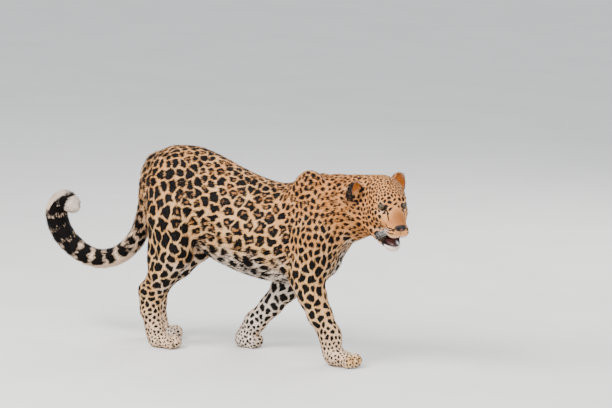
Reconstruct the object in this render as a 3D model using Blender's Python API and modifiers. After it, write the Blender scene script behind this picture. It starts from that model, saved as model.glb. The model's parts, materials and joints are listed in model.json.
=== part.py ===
"""A life-size leopard walking with its head turned, one named solid for each part of its body.

The body faces +X, its left side is +Y and the floor is Z = 0. The flesh is one smooth body, a blend
of named masses (a trunk, ellipsoids and tapered lengths of limb), which is then parted with thin cuts.
"""
import math

import bmesh
import bpy
import numpy as np
from mathutils import Euler, Matrix, Vector

# Gap between touching solids, and how finely the flesh is first modelled and then thinned
GAP = 0.0003
BODY_VOXEL = 0.008
HEAD_VOXEL = 0.0035
BODY_TRIANGLES = 6200
HEAD_TRIANGLES = 2800
FIT_STEPS = 6
FIT_PROBE = 0.0005
LONGEST_STEP = 0.01
SOLE_SNAP = 0.0006
MERGE_DISTANCE = 0.000002
PAW_KEEP = 0.03
TAIL_KEEP = 0.01
CUT_REACH = 1.0
SHARP_ANGLE = 50.0

# How softly the masses flow into each other
TORSO_BLEND = 0.045
LIMB_BLEND = 0.016
ROOT_BLEND = 0.040
TOE_BLEND = 0.007
FACE_BLEND = 0.012
LID_BLEND = 0.004

# Trunk, from rump to chest: x, height of the back, height of the belly, half width
TRUNK = (
    (-0.334, 0.598, 0.450, 0.058),
    (-0.292, 0.650, 0.410, 0.084),
    (-0.240, 0.666, 0.380, 0.098),
    (-0.180, 0.667, 0.345, 0.102),
    (-0.110, 0.647, 0.300, 0.108),
    (-0.030, 0.613, 0.270, 0.117),
    (0.060, 0.582, 0.249, 0.122),
    (0.130, 0.572, 0.243, 0.120),
    (0.200, 0.586, 0.244, 0.112),
    (0.260, 0.600, 0.256, 0.100),
    (0.300, 0.595, 0.300, 0.084),
)
TRUNK_CAP = 0.036
TRUNK_EGG = 0.16
# Rounded masses of the trunk: centre, radii and turn in degrees
TRUNK_MASSES = (
    ((-0.282, 0.000, 0.545), (0.064, 0.082, 0.098), (0.0, 0.0, 0.0)),
    ((0.268, 0.000, 0.345), (0.058, 0.072, 0.085), (0.0, 0.0, 0.0)),
    ((0.240, -0.062, 0.512), (0.072, 0.046, 0.126), (8.0, 14.0, 0.0)),
    ((0.225, 0.066, 0.484), (0.072, 0.046, 0.120), (-8.0, 8.0, 0.0)),
    ((-0.240, -0.052, 0.530), (0.094, 0.058, 0.118), (0.0, 12.0, 0.0)),
    ((-0.240, 0.052, 0.530), (0.094, 0.058, 0.118), (0.0, 12.0, 0.0)),
)

# Neck: its upper and its lower line from the chest to the skull, with radii
NAPE = (
    (0.270, 0.000, 0.505, 0.092),
    (0.350, -0.008, 0.523, 0.082),
    (0.420, -0.014, 0.543, 0.068),
    (0.478, -0.024, 0.552, 0.056),
)
THROAT = (
    (0.270, 0.000, 0.455, 0.100),
    (0.350, -0.008, 0.485, 0.084),
    (0.420, -0.014, 0.502, 0.067),
    (0.478, -0.024, 0.509, 0.058),
)
NECK_CUT = ((0.330, 0.0, 0.500), (1.0, 0.0, 0.25))
HEAD_CUT = ((0.400, -0.018, 0.522), (0.96, -0.26, 0.10))

# Legs: each joint's place and radius, from the shoulder or hip down
LEGS = {
    "foreleg_right": (
        (0.285, -0.072, 0.415, 0.078),
        (0.258, -0.086, 0.280, 0.057),
        (0.279, -0.091, 0.222, 0.046),
        (0.307, -0.091, 0.163, 0.040),
        (0.345, -0.089, 0.096, 0.036),
        (0.352, -0.088, 0.050, 0.035),
    ),
    "foreleg_left": (
        (0.272, 0.072, 0.415, 0.078),
        (0.140, 0.084, 0.268, 0.056),
        (0.106, 0.082, 0.208, 0.045),
        (0.058, 0.078, 0.146, 0.036),
        (0.002, 0.074, 0.086, 0.035),
        (-0.030, 0.073, 0.036, 0.034),
    ),
    "hindleg_right": (
        (-0.246, -0.066, 0.440, 0.084),
        (-0.222, -0.086, 0.325, 0.060),
        (-0.262, -0.084, 0.255, 0.049),
        (-0.300, -0.080, 0.188, 0.040),
        (-0.308, -0.078, 0.120, 0.033),
        (-0.292, -0.078, 0.052, 0.034),
    ),
    "hindleg_left": (
        (-0.252, 0.066, 0.440, 0.084),
        (-0.225, 0.088, 0.325, 0.059),
        (-0.290, 0.086, 0.252, 0.048),
        (-0.352, 0.082, 0.190, 0.039),
        (-0.368, 0.080, 0.120, 0.033),
        (-0.358, 0.080, 0.052, 0.034),
    ),
}
# Hind legs only: the heel of the hock with its radius, and the muscle down the back of the thigh
HOCK_POINTS = {
    "hindleg_right": (-0.326, -0.079, 0.184, 0.029),
    "hindleg_left": (-0.380, 0.081, 0.186, 0.028),
}
HAMSTRINGS = {
    "hindleg_right": ((-0.270, -0.070, 0.430, 0.052), (-0.288, -0.080, 0.290, 0.036)),
    "hindleg_left": ((-0.276, 0.070, 0.430, 0.052), (-0.306, 0.082, 0.285, 0.035)),
}

# Paws: middle of the sole, half length, half width, height, and how many degrees the toes turn outwards
PAWS = {
    "foreleg_right": ((0.388, -0.089), 0.062, 0.045, 0.054, -4.0),
    "foreleg_left": ((-0.027, 0.073), 0.041, 0.044, 0.046, 3.0),
    "hindleg_right": ((-0.262, -0.079), 0.056, 0.040, 0.046, -4.0),
    "hindleg_left": ((-0.334, 0.080), 0.055, 0.040, 0.046, 4.0),
}
# The pad's share of the paw's half length, half width and height, how far back and how high it sits
PAD_SHARES, PAD_SETBACK, PAD_LIFT = (0.84, 0.92, 0.56), 0.12, 0.44
# Toes: how far forward they reach, how much less at the sides, and how they spread, sit, tip and fan out
TOES = 4
TOE_REACH, TOE_ARC, TOE_SPREAD, TOE_LIFT, TOE_PITCH, TOE_FAN = 0.70, 0.26, 0.84, 0.86, 8.0, 16.0
TOE_RADII = (0.024, 0.0125, 0.023)
ANKLE_CUT_HEIGHT = {"foreleg": 0.078, "hindleg": 0.082}

# Tail: centre line from the rump to the tip, with radii
TAIL = (
    (-0.325, 0.000, 0.595, 0.040),
    (-0.358, 0.004, 0.510, 0.029),
    (-0.378, 0.010, 0.420, 0.026),
    (-0.412, 0.016, 0.338, 0.026),
    (-0.470, 0.020, 0.281, 0.026),
    (-0.557, 0.024, 0.256, 0.027),
    (-0.643, 0.026, 0.287, 0.029),
    (-0.701, 0.026, 0.349, 0.031),
    (-0.712, 0.024, 0.409, 0.030),
    (-0.682, 0.020, 0.443, 0.027),
    (-0.655, 0.018, 0.430, 0.024),
)
TAIL_SPAN_STEPS = 3
TAIL_CUT_REACH = 0.8
TAIL_CUTS = {
    "tail_base": ((-0.355, 0.000, 0.480), (-1.0, 0.0, -0.50)),
    "tail_middle": ((-0.470, 0.020, 0.281), (-0.90, 0.0, -0.40)),
    "tail_tip": ((-0.672, 0.026, 0.318), (-0.55, 0.0, 0.80)),
}

# Head: where the point between the eyes is, and how it is turned, in degrees
HEAD_PLACE = (0.5600, -0.102, 0.5465)
HEAD_YAW, HEAD_PITCH, HEAD_ROLL = -45.0, 12.0, 2.0
# Skull along its middle: cranium, brow, back, nose bridge, upper jaw, throat, chin; centre, radii, pitch
SKULL_MASSES = (
    ((-0.070, 0.0, 0.006), (0.086, 0.064, 0.064), 0.0),
    ((-0.020, 0.0, 0.014), (0.046, 0.040, 0.034), 0.0),
    ((-0.122, 0.0, -0.015), (0.055, 0.054, 0.062), 0.0),
    ((0.030, 0.0, -0.030), (0.058, 0.028, 0.026), 24.0),
    ((0.040, 0.0, -0.062), (0.044, 0.032, 0.030), 0.0),
    ((-0.035, 0.0, -0.088), (0.050, 0.044, 0.034), 0.0),
    ((0.032, 0.0, -0.130), (0.021, 0.018, 0.016), 0.0),
)
# Skull on each side: cheek, ruff, brow ridge, temple, under the eye, whisker pad; centre, radii, yaw
SKULL_PAIRS = (
    ((-0.050, 0.0360, -0.040), (0.056, 0.034, 0.048), 0.0),
    ((-0.090, 0.0360, -0.062), (0.048, 0.036, 0.052), 0.0),
    ((-0.012, 0.0290, 0.018), (0.024, 0.018, 0.012), 20.0),
    ((-0.026, 0.0370, -0.006), (0.028, 0.016, 0.024), 0.0),
    ((0.004, 0.0290, -0.038), (0.032, 0.019, 0.030), 0.0),
    ((0.058, 0.0175, -0.067), (0.030, 0.019, 0.021), 0.0),
)
# Bars on each side, along the nose bridge and the lower jaw: two ends with radii
SKULL_BARS = (
    ((-0.006, 0.008, -0.009, 0.0260), (0.070, 0.006, -0.047, 0.0160)),
    ((-0.045, 0.033, -0.094, 0.0300), (0.026, 0.009, -0.130, 0.0155)),
)
NOSE_CENTRE, NOSE_RADII = (0.078, 0.0, -0.045), (0.015, 0.017, 0.013)
EYE_CENTRE = (-0.004, 0.0350, -0.001)
EYE_RADIUS = 0.0145
EYE_OUTWARD, EYE_SLANT = 20.0, 18.0
LID_THICKNESS = 0.0034
LID_OPENING = (0.012, 0.0122, 0.0066)
MOUTH_CENTRE, MOUTH_HALF_LENGTH, MOUTH_HALF_GAPE, MOUTH_RISE = (0.090, 0.0, -0.1025), 0.100, 0.0160, 6.0
MOUTH_WIDTH, MOUTH_SIDES = 0.160, 36
EAR_BASE = {"right": (-0.098, -0.096, 0.010), "left": (-0.112, 0.060, 0.023)}
EAR_LEAN = {"right": (28.0, -4.0, 50.0), "left": (-26.0, -8.0, 34.0)}
EAR_RADII = (0.025, 0.037, 0.043)
EAR_WALL, EAR_FLARE, EAR_CUP_SHIFT = 0.005, (0.006, 0.0, 0.0), (0.014, 0.0, 0.002)
NOSTRIL_CENTRE, NOSTRIL_RADII = (0.0905, 0.0095, -0.0475), (0.008, 0.0042, 0.0036)
TONGUE_CENTRE, TONGUE_RADII = (0.018, 0.0, -0.120), (0.044, 0.019, 0.010)
POLES_FORWARD = Matrix.Rotation(math.pi / 2, 4, "Y")
SIDES = {-1: "right", 1: "left"}

# Regions that part each leg from the torso: the hull of three balls, x, y, z, radius
LEG_REGIONS = {
    "foreleg_right": (
        (0.250, -0.150, 0.460, 0.100),
        (0.250, -0.128, 0.250, 0.105),
        (0.390, -0.110, 0.020, 0.110),
    ),
    "foreleg_left": (
        (0.235, 0.150, 0.460, 0.100),
        (0.125, 0.125, 0.240, 0.105),
        (-0.020, 0.110, 0.020, 0.100),
    ),
    "hindleg_right": (
        (-0.230, -0.155, 0.480, 0.115),
        (-0.215, -0.125, 0.310, 0.100),
        (-0.275, -0.115, 0.020, 0.110),
    ),
    "hindleg_left": (
        (-0.240, 0.155, 0.480, 0.115),
        (-0.230, 0.125, 0.310, 0.100),
        (-0.345, 0.115, 0.020, 0.110),
    ),
}

# Colours of the finished parts: red, green, blue, then roughness
COAT = ((0.58, 0.31, 0.13), 0.85)
PAW_COAT = ((0.66, 0.44, 0.24), 0.85)
TAIL_TIP_COAT = ((0.30, 0.24, 0.19), 0.85)
EAR_COAT = ((0.10, 0.08, 0.07), 0.85)
EYE_GLASS = ((0.45, 0.38, 0.12), 0.08)
TONGUE_PINK = ((0.55, 0.20, 0.18), 0.45)


class Ellipsoid:
    """One rounded mass with three radii, turned by Euler degrees."""

    def __init__(self, centre, radii, turn=(0.0, 0.0, 0.0), frame=Matrix.Identity(4)):
        rotation = Euler([math.radians(angle) for angle in turn]).to_matrix().to_4x4()
        self.matrix = frame @ Matrix.Translation(centre) @ rotation
        self.radii = np.array(radii)

    def distance(self, points):
        axes = np.array(self.matrix.to_3x3())
        local = (points - np.array(self.matrix.translation)) @ axes
        near = np.linalg.norm(local / self.radii, axis=1)
        slope = np.linalg.norm(local / self.radii ** 2, axis=1)
        return near * (near - 1.0) / np.maximum(slope, 1e-6)

    def shells(self):
        return [[self.matrix @ Vector(point * self.radii) for point in sphere_points()]]


class Taper:
    """A length of limb between two balls."""

    def __init__(self, start, end, frame=Matrix.Identity(4)):
        self.a = np.array(frame @ Vector(start[:3]))
        self.b = np.array(frame @ Vector(end[:3]))
        self.ra, self.rb = start[3], end[3]

    def distance(self, points):
        axis = self.b - self.a
        length2 = axis @ axis
        fall = self.ra - self.rb
        slant2 = length2 - fall * fall
        from_a = points - self.a
        along = from_a @ axis
        past = along - length2
        across2 = ((from_a * length2 - np.outer(along, axis)) ** 2).sum(axis=1)
        side = math.copysign(1.0, fall) * fall * fall * across2
        at_end = np.sign(past) * slant2 * past * past * length2 > side
        at_start = np.sign(along) * slant2 * along * along * length2 < side
        wall = (np.sqrt(across2 * slant2 / length2) + along * fall) / length2 - self.ra
        end = np.sqrt(across2 + past * past * length2) / length2 - self.rb
        start = np.sqrt(across2 + along * along * length2) / length2 - self.ra
        return np.where(at_end, end, np.where(at_start, start, wall))

    def shells(self):
        ends = ((self.a, self.ra), (self.b, self.rb))
        return [[Vector(centre + point * radius) for centre, radius in ends for point in sphere_points()]]


class Trunk:
    """The barrel of the body, lofted through the stations of TRUNK."""

    def __init__(self, stations):
        self.table = np.array(stations)

    def section(self, x):
        knots = self.table[:, 0]
        return [smooth_between(x, knots, self.table[:, column]) for column in (1, 2, 3)]

    def distance(self, points):
        x = np.clip(points[:, 0], self.table[0, 0], self.table[-1, 0])
        top, bottom, width = self.section(x)
        half = (top - bottom) / 2
        lift = (points[:, 2] - (top + bottom) / 2) / half
        width = width * (1 - TRUNK_EGG * np.clip(lift, -1.0, 1.0))
        radii = np.stack([np.full(len(x), TRUNK_CAP), width, half], axis=1)
        local = np.stack([points[:, 0] - x, points[:, 1], lift * half], axis=1)
        near = np.linalg.norm(local / radii, axis=1)
        slope = np.linalg.norm(local / radii ** 2, axis=1)
        return near * (near - 1.0) / np.maximum(slope, 1e-6)

    def shells(self):
        rings = []
        for x in self.table[:, 0]:
            top, bottom, width = self.section(np.array([x]))
            centre = Vector((x, 0.0, (top[0] + bottom[0]) / 2))
            radii = (0.0, width[0], (top[0] - bottom[0]) / 2)
            rings.append([centre + Vector(point * radii) for point in sphere_points()])
        return [first + second for first, second in zip(rings, rings[1:])]


def sphere_points(rows=9, columns=16):
    """Points spread over a unit sphere."""
    points = [np.array((0.0, 0.0, 1.0)), np.array((0.0, 0.0, -1.0))]
    for row in range(1, rows):
        tilt = math.pi * row / rows
        for column in range(columns):
            turn = 2 * math.pi * column / columns
            flat = math.sin(tilt)
            points.append(np.array((flat * math.cos(turn), flat * math.sin(turn), math.cos(tilt))))
    return points


def smooth_between(x, knots, values):
    """Values read from a smooth curve through the knots."""
    slopes = np.gradient(values, knots)
    span = np.clip(np.searchsorted(knots, x) - 1, 0, len(knots) - 2)
    width = knots[span + 1] - knots[span]
    t = (x - knots[span]) / width
    rise = values[span] * (1 + 2 * t) * (1 - t) ** 2 + values[span + 1] * t * t * (3 - 2 * t)
    return rise + width * (slopes[span] * t * (1 - t) ** 2 - slopes[span + 1] * t * t * (1 - t))


def blend(first, second, softness):
    """Smooth union of two distance fields."""
    overlap = np.maximum(softness - np.abs(first - second), 0.0) / softness
    return np.minimum(first, second) - overlap * overlap * softness * 0.25


def blend_all(masses, points, softness):
    total = masses[0].distance(points)
    for mass in masses[1:]:
        total = blend(total, mass.distance(points), softness)
    return total


def limb(joints, frame=Matrix.Identity(4)):
    return [Taper(start, end, frame) for start, end in zip(joints, joints[1:])]


def curve_through(stations, steps):
    """Extra stations on a smooth curve through a limb's own."""
    table = np.array(stations)
    knots = np.concatenate([[0.0], np.cumsum(np.linalg.norm(np.diff(table[:, :3], axis=0), axis=1))])
    spans = [np.linspace(a, b, steps, endpoint=False) for a, b in zip(knots, knots[1:])]
    places = np.concatenate(spans + [knots[-1:]])
    return np.stack([smooth_between(places, knots, column) for column in table.T], axis=1).tolist()


def torso_masses():
    masses = [Trunk(TRUNK)]
    masses += [Ellipsoid(centre, radii, turn) for centre, radii, turn in TRUNK_MASSES]
    return masses + limb(NAPE) + limb(THROAT)


def paw_masses(name):
    """A rounded pad with a row of toes in front."""
    (x, y), half_length, half_width, height, turn = PAWS[name]
    frame = Matrix.Translation((x, y, 0.0)) @ Matrix.Rotation(math.radians(turn), 4, "Z")
    pad_radii = np.multiply((half_length, half_width, height), PAD_SHARES)
    pad = Ellipsoid((-half_length * PAD_SETBACK, 0.0, height * PAD_LIFT), pad_radii, frame=frame)
    toes = []
    for index in range(TOES):
        across = (index - (TOES - 1) / 2) / (TOES / 2)
        reach = half_length * (TOE_REACH - TOE_ARC * across * across)
        centre = (reach, across * half_width * TOE_SPREAD, TOE_RADII[2] * TOE_LIFT)
        toes.append(Ellipsoid(centre, TOE_RADII, (0.0, TOE_PITCH, across * TOE_FAN), frame))
    return pad, toes


def leg_masses(name):
    """The lengths and the pad of one leg, and its toes, which blend more tightly."""
    masses = limb(LEGS[name])
    if name in HOCK_POINTS:
        masses.append(Taper(HOCK_POINTS[name], LEGS[name][4]))
        masses.append(Taper(*HAMSTRINGS[name]))
    pad, toes = paw_masses(name)
    return masses + [pad], toes


def head_frame():
    turn = Euler([math.radians(angle) for angle in (HEAD_ROLL, HEAD_PITCH, HEAD_YAW)])
    return Matrix.Translation(HEAD_PLACE) @ turn.to_matrix().to_4x4()


def skull_masses():
    frame = head_frame()
    masses = [Ellipsoid(centre, radii, (0.0, pitch, 0.0), frame) for centre, radii, pitch in SKULL_MASSES]
    for side in (-1, 1):
        for (x, y, z), radii, yaw in SKULL_PAIRS:
            masses.append(Ellipsoid((x, side * y, z), radii, (0.0, 0.0, side * yaw), frame))
        for start, end in SKULL_BARS:
            flip = (1.0, side, 1.0, 1.0)
            masses.append(Taper(np.multiply(start, flip), np.multiply(end, flip), frame))
    return masses


def eye_frame(side):
    """The eye's own frame: x out of the pupil, y towards the animal's left."""
    centre = (EYE_CENTRE[0], side * EYE_CENTRE[1], EYE_CENTRE[2])
    look = Matrix.Rotation(math.radians(side * EYE_OUTWARD), 4, "Z")
    slant = Matrix.Rotation(math.radians(side * EYE_SLANT), 4, "X")
    return head_frame() @ Matrix.Translation(centre) @ look @ slant


def head_distance(points):
    total = blend_all(skull_masses(), points, FACE_BLEND)
    lid = (EYE_RADIUS + LID_THICKNESS,) * 3
    for side in (-1, 1):
        total = blend(total, Ellipsoid((0, 0, 0), lid, frame=eye_frame(side)).distance(points), LID_BLEND)
    nose = Ellipsoid(NOSE_CENTRE, NOSE_RADII, frame=head_frame())
    return blend(total, nose.distance(points), FACE_BLEND / 2)


def body_distance(points):
    """Distance to the whole leopard: the legs blend with the torso but not with each other."""
    torso = blend_all(torso_masses(), points, TORSO_BLEND)
    tail = blend_all(limb(curve_through(TAIL, TAIL_SPAN_STEPS)), points, LIMB_BLEND)
    torso = blend(torso, tail, ROOT_BLEND)
    torso = blend(torso, head_distance(points), ROOT_BLEND)
    total = torso
    for name in LEGS:
        masses, toes = leg_masses(name)
        leg = blend(blend_all(masses, points, LIMB_BLEND), blend_all(toes, points, TOE_BLEND), TOE_BLEND)
        total = np.minimum(total, blend(torso, leg, ROOT_BLEND))
    return total


def fit_to_field(mesh):
    """Move the vertices onto the smooth body, and flatten what would reach below the floor."""
    points = np.empty(len(mesh.vertices) * 3, dtype=np.float32)
    mesh.vertices.foreach_get("co", points)
    points = points.reshape(-1, 3).astype(float)
    for _ in range(FIT_STEPS):
        level = body_distance(points)
        rises = [body_distance(points + FIT_PROBE * axis) - level for axis in np.eye(3)]
        slope = np.stack(rises, axis=1) / FIT_PROBE
        steep = np.maximum((slope ** 2).sum(axis=1, keepdims=True), 0.2)
        points -= np.clip(level, -LONGEST_STEP, LONGEST_STEP)[:, None] * slope / steep
    points[:, 2] = np.maximum(points[:, 2], 0.0)
    mesh.vertices.foreach_set("co", points.ravel())
    mesh.update()


def hull_object(name, groups, collection):
    """One object that joins the convex hull of each group of points."""
    shape = bmesh.new()
    for points in groups:
        vertices = [shape.verts.new(point) for point in points]
        result = bmesh.ops.convex_hull(shape, input=vertices)
        inside = {*result["geom_interior"], *result["geom_unused"]}
        bmesh.ops.delete(shape, geom=list(inside), context="VERTS")
    mesh = bpy.data.meshes.new(name)
    shape.to_mesh(mesh)
    shape.free()
    thing = bpy.data.objects.new(name, mesh)
    collection.objects.link(thing)
    return thing


def apply_modifiers(thing):
    """Keep the evaluated shape as the object's own mesh."""
    graph = bpy.context.evaluated_depsgraph_get()
    mesh = bpy.data.meshes.new_from_object(thing.evaluated_get(graph))
    thing.modifiers.clear()
    thing.data = mesh


def flesh_object(name, masses, voxel, collection):
    """Wrap the masses in one even skin and fit it to the smooth body."""
    thing = hull_object(name, [shell for mass in masses for shell in mass.shells()], collection)
    wrap = thing.modifiers.new("wrap", "REMESH")
    wrap.mode = "VOXEL"
    wrap.voxel_size = voxel
    apply_modifiers(thing)
    fit_to_field(thing.data)
    return thing


def thin_out(thing, triangles, keep):
    """Reduce the mesh, more where keep(points) is small than where it is 1."""
    points = np.array([vertex.co for vertex in thing.data.vertices])
    group = thing.vertex_groups.new(name="coarse")
    for index, weight in enumerate(1.0 - keep(points)):
        group.add([index], float(weight), "REPLACE")
    triangle = thing.modifiers.new("triangles", "TRIANGULATE")
    triangle.keep_custom_normals = False
    count = sum(len(polygon.vertices) - 2 for polygon in thing.data.polygons)
    decimate = thing.modifiers.new("decimate", "DECIMATE")
    decimate.ratio = triangles / count
    decimate.vertex_group = "coarse"
    decimate.vertex_group_factor = 1.0
    apply_modifiers(thing)
    thing.vertex_groups.clear()
    for vertex in thing.data.vertices:
        if vertex.co.z < SOLE_SNAP:
            vertex.co.z = 0.0


def boolean(thing, cutter, operation):
    """Apply one exact Boolean."""
    modifier = thing.modifiers.new(operation.lower(), "BOOLEAN")
    modifier.operation = operation
    modifier.object = cutter
    modifier.solver = "EXACT"
    apply_modifiers(thing)


def keep_largest(thing):
    """Drop loose scraps, so that the object is one closed body."""
    shape = bmesh.new()
    shape.from_mesh(thing.data)
    bmesh.ops.remove_doubles(shape, verts=shape.verts, dist=MERGE_DISTANCE)
    pieces = []
    unseen = set(shape.verts)
    while unseen:
        stack = [unseen.pop()]
        piece = set(stack)
        while stack:
            for edge in stack.pop().link_edges:
                for vertex in edge.verts:
                    if vertex in unseen:
                        unseen.discard(vertex)
                        piece.add(vertex)
                        stack.append(vertex)
        pieces.append(piece)
    largest = max(pieces, key=len)
    scraps = [vertex for vertex in shape.verts if vertex not in largest]
    bmesh.ops.delete(shape, geom=scraps, context="VERTS")
    bmesh.ops.triangulate(shape, faces=shape.faces)
    shape.to_mesh(thing.data)
    shape.free()


def copy_object(thing, name, collection):
    duplicate = bpy.data.objects.new(name, thing.data.copy())
    collection.objects.link(duplicate)
    return duplicate


def move_to(thing, collection):
    for old in list(thing.users_collection):
        old.objects.unlink(thing)
    collection.objects.link(thing)


def keep_as_cutter(thing, cutters):
    """Set aside a shape that only serves to cut others."""
    move_to(thing, cutters)
    thing.hide_render = True
    thing.display_type = "WIRE"
    bpy.context.view_layer.update()
    return thing


def make_solid_part(thing, collection):
    """Turn a placed primitive into a part whose mesh holds its shape in place."""
    move_to(thing, collection)
    thing.hide_render = False
    thing.display_type = "TEXTURED"
    thing.data.transform(thing.matrix_world)
    thing.matrix_world = Matrix.Identity(4)
    bpy.context.view_layer.update()


def half_space(name, point, normal, cutters, shift=0.0, size=CUT_REACH):
    """A large block whose one face passes through the point, on the side the normal looks to."""
    bpy.ops.mesh.primitive_cube_add(size=size)
    block = bpy.context.object
    block.name = name
    direction = Vector(normal).normalized()
    block.rotation_mode = "QUATERNION"
    block.rotation_quaternion = direction.to_track_quat("Z", "Y")
    block.location = Vector(point) + direction * (size / 2 + shift)
    return keep_as_cutter(block, cutters)


def ball_region(name, balls, cutters, grow=0.0):
    """The convex hull of a few balls, used to part a leg from the torso."""
    rounds = [(Vector(ball[:3]), ball[3] + grow) for ball in balls]
    points = [centre + Vector(point) * radius for centre, radius in rounds for point in sphere_points(8, 14)]
    return keep_as_cutter(hull_object(name, [points], cutters), cutters)


def part_off(whole, name, region, wider, collection):
    """Cut the part inside the region off the whole, leaving the gap between them."""
    part = copy_object(whole, name, collection)
    boolean(part, region, "INTERSECT")
    boolean(whole, wider, "DIFFERENCE")
    keep_largest(part)
    keep_largest(whole)
    return part


def cut_by_plane(whole, name, point, normal, collection, cutters, size=CUT_REACH):
    region = half_space(name + "_cut", point, normal, cutters, GAP / 2, size)
    wider = half_space(name + "_gap", point, normal, cutters, -GAP / 2, size)
    return part_off(whole, name, region, wider, collection)


def part_legs(body, collection, cutters):
    """Each leg off the torso, and its paw off the leg at the ankle."""
    for name, balls in LEG_REGIONS.items():
        region = ball_region(name + "_region", balls, cutters)
        wider = ball_region(name + "_wider", balls, cutters, GAP)
        leg = part_off(body, name, region, wider, collection)
        ankle = (0.0, 0.0, ANKLE_CUT_HEIGHT[name.split("_")[0]])
        paw = cut_by_plane(leg, name.replace("leg", "paw"), ankle, (0.0, 0.0, -1.0), collection, cutters)
        paint(paw, PAW_COAT)
        paint(leg, COAT)


def part_tail(body, collection, cutters):
    """The tail in three lengths, each cut off the one before."""
    whole = body
    for name, (point, normal) in TAIL_CUTS.items():
        whole = cut_by_plane(whole, name, point, normal, collection, cutters, TAIL_CUT_REACH)
        paint(whole, TAIL_TIP_COAT if name == "tail_tip" else COAT)


def scaled_sphere(name, centre, radii, frame, cutters, segments=16, rings=10):
    bpy.ops.mesh.primitive_uv_sphere_add(segments=segments, ring_count=rings, radius=1.0)
    ball = bpy.context.object
    ball.name = name
    ball.matrix_world = frame @ Matrix.Translation(centre) @ Matrix.Diagonal((*radii, 1.0))
    return keep_as_cutter(ball, cutters)


def mouth_cutter(cutters, shrink=0.0):
    """A long flat roller whose rear edge is the corner of the mouth."""
    bpy.ops.mesh.primitive_cylinder_add(vertices=MOUTH_SIDES, radius=1.0, depth=MOUTH_WIDTH)
    roller = bpy.context.object
    roller.name = "mouth"
    rise = Matrix.Rotation(math.radians(-MOUTH_RISE), 4, "Y")
    lay = Matrix.Rotation(math.pi / 2, 4, "X")
    size = Matrix.Diagonal((MOUTH_HALF_LENGTH - shrink, MOUTH_HALF_GAPE - shrink, 1.0, 1.0))
    roller.matrix_world = head_frame() @ Matrix.Translation(MOUTH_CENTRE) @ rise @ lay @ size
    return keep_as_cutter(roller, cutters)


def carve_face(head, collection, cutters):
    """Sockets behind the lids, the opening between them, the nostrils and the mouth."""
    socket = (EYE_RADIUS + GAP,) * 3
    for side, label in SIDES.items():
        ball_frame = eye_frame(side) @ POLES_FORWARD
        boolean(head, scaled_sphere("socket_" + label, (0, 0, 0), socket, ball_frame, cutters), "DIFFERENCE")
        opening = scaled_sphere("lids_" + label, (EYE_RADIUS, 0, 0), LID_OPENING, eye_frame(side), cutters)
        boolean(head, opening, "DIFFERENCE")
        place = (NOSTRIL_CENTRE[0], side * NOSTRIL_CENTRE[1], NOSTRIL_CENTRE[2])
        hole = scaled_sphere("nostril_" + label, place, NOSTRIL_RADII, head_frame(), cutters, 10, 6)
        boolean(head, hole, "DIFFERENCE")
        make_eye(label, side, collection)
    boolean(head, mouth_cutter(cutters), "DIFFERENCE")


def make_eye(label, side, collection):
    """The eyeball, faceted like its socket so that the gap between them stays even."""
    bpy.ops.mesh.primitive_uv_sphere_add(segments=16, ring_count=10, radius=EYE_RADIUS)
    eye = bpy.context.object
    eye.name = "eye_" + label
    eye.matrix_world = eye_frame(side) @ POLES_FORWARD
    move_to(eye, collection)
    eye.data.shade_smooth()
    paint(eye, EYE_GLASS)


def make_tongue(collection, cutters):
    """The tongue lies on the floor of the mouth."""
    tongue = scaled_sphere("tongue", TONGUE_CENTRE, TONGUE_RADII, head_frame(), cutters, 24, 12)
    make_solid_part(tongue, collection)
    boolean(tongue, mouth_cutter(cutters, GAP), "INTERSECT")
    keep_largest(tongue)
    paint(tongue, TONGUE_PINK)


def ear_frame(label):
    lean = Euler([math.radians(angle) for angle in EAR_LEAN[label]])
    return head_frame() @ Matrix.Translation(EAR_BASE[label]) @ lean.to_matrix().to_4x4()


def make_ear(label, head, collection, cutters):
    """A round cup, hollow towards its own +X, that stands on the head."""
    frame = ear_frame(label)
    ear = scaled_sphere("ear_" + label, (0, 0, 0), EAR_RADII, frame, cutters, 20, 12)
    make_solid_part(ear, collection)
    inner = np.array(EAR_RADII) - EAR_WALL + EAR_FLARE
    hollow = scaled_sphere("ear_cup_" + label, EAR_CUP_SHIFT, inner, frame, cutters, 20, 12)
    boolean(ear, hollow, "DIFFERENCE")
    seat = copy_object(head, "seat_" + label, cutters)
    swell(seat, GAP * 1.6)
    boolean(ear, keep_as_cutter(seat, cutters), "DIFFERENCE")
    keep_largest(ear)
    paint(ear, EAR_COAT)


def swell(thing, amount):
    normals = [vertex.normal.copy() for vertex in thing.data.vertices]
    for vertex, normal in zip(thing.data.vertices, normals):
        vertex.co += normal * amount


def paint(thing, finish):
    """Give the part its own material."""
    colour, roughness = finish
    material = bpy.data.materials.new(thing.name)
    material.use_nodes = True
    shader = material.node_tree.nodes["Principled BSDF"]
    shader.inputs["Base Color"].default_value = (*colour, 1.0)
    shader.inputs["Roughness"].default_value = roughness
    shader.inputs["Metallic"].default_value = 0.0
    thing.data.materials.clear()
    thing.data.materials.append(material)


def keep_paws(points):
    """Most on the paws, less on the tail and up the legs."""
    paws = np.clip(1.0 - (points[:, 2] - 0.04) / 0.06, 0.0, 1.0) * PAW_KEEP
    tail = np.where(points[:, 0] < TAIL[2][0], TAIL_KEEP, 0.0)
    return np.maximum(paws, tail)


def keep_face(points):
    """Most round the eyes, nose and mouth, falling to nothing at the back of the head."""
    forward = (points - np.array(HEAD_PLACE)) @ np.array(head_frame().col[0].to_3d())
    return np.clip(0.3 + forward / 0.30, 0.0, 0.5)


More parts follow.
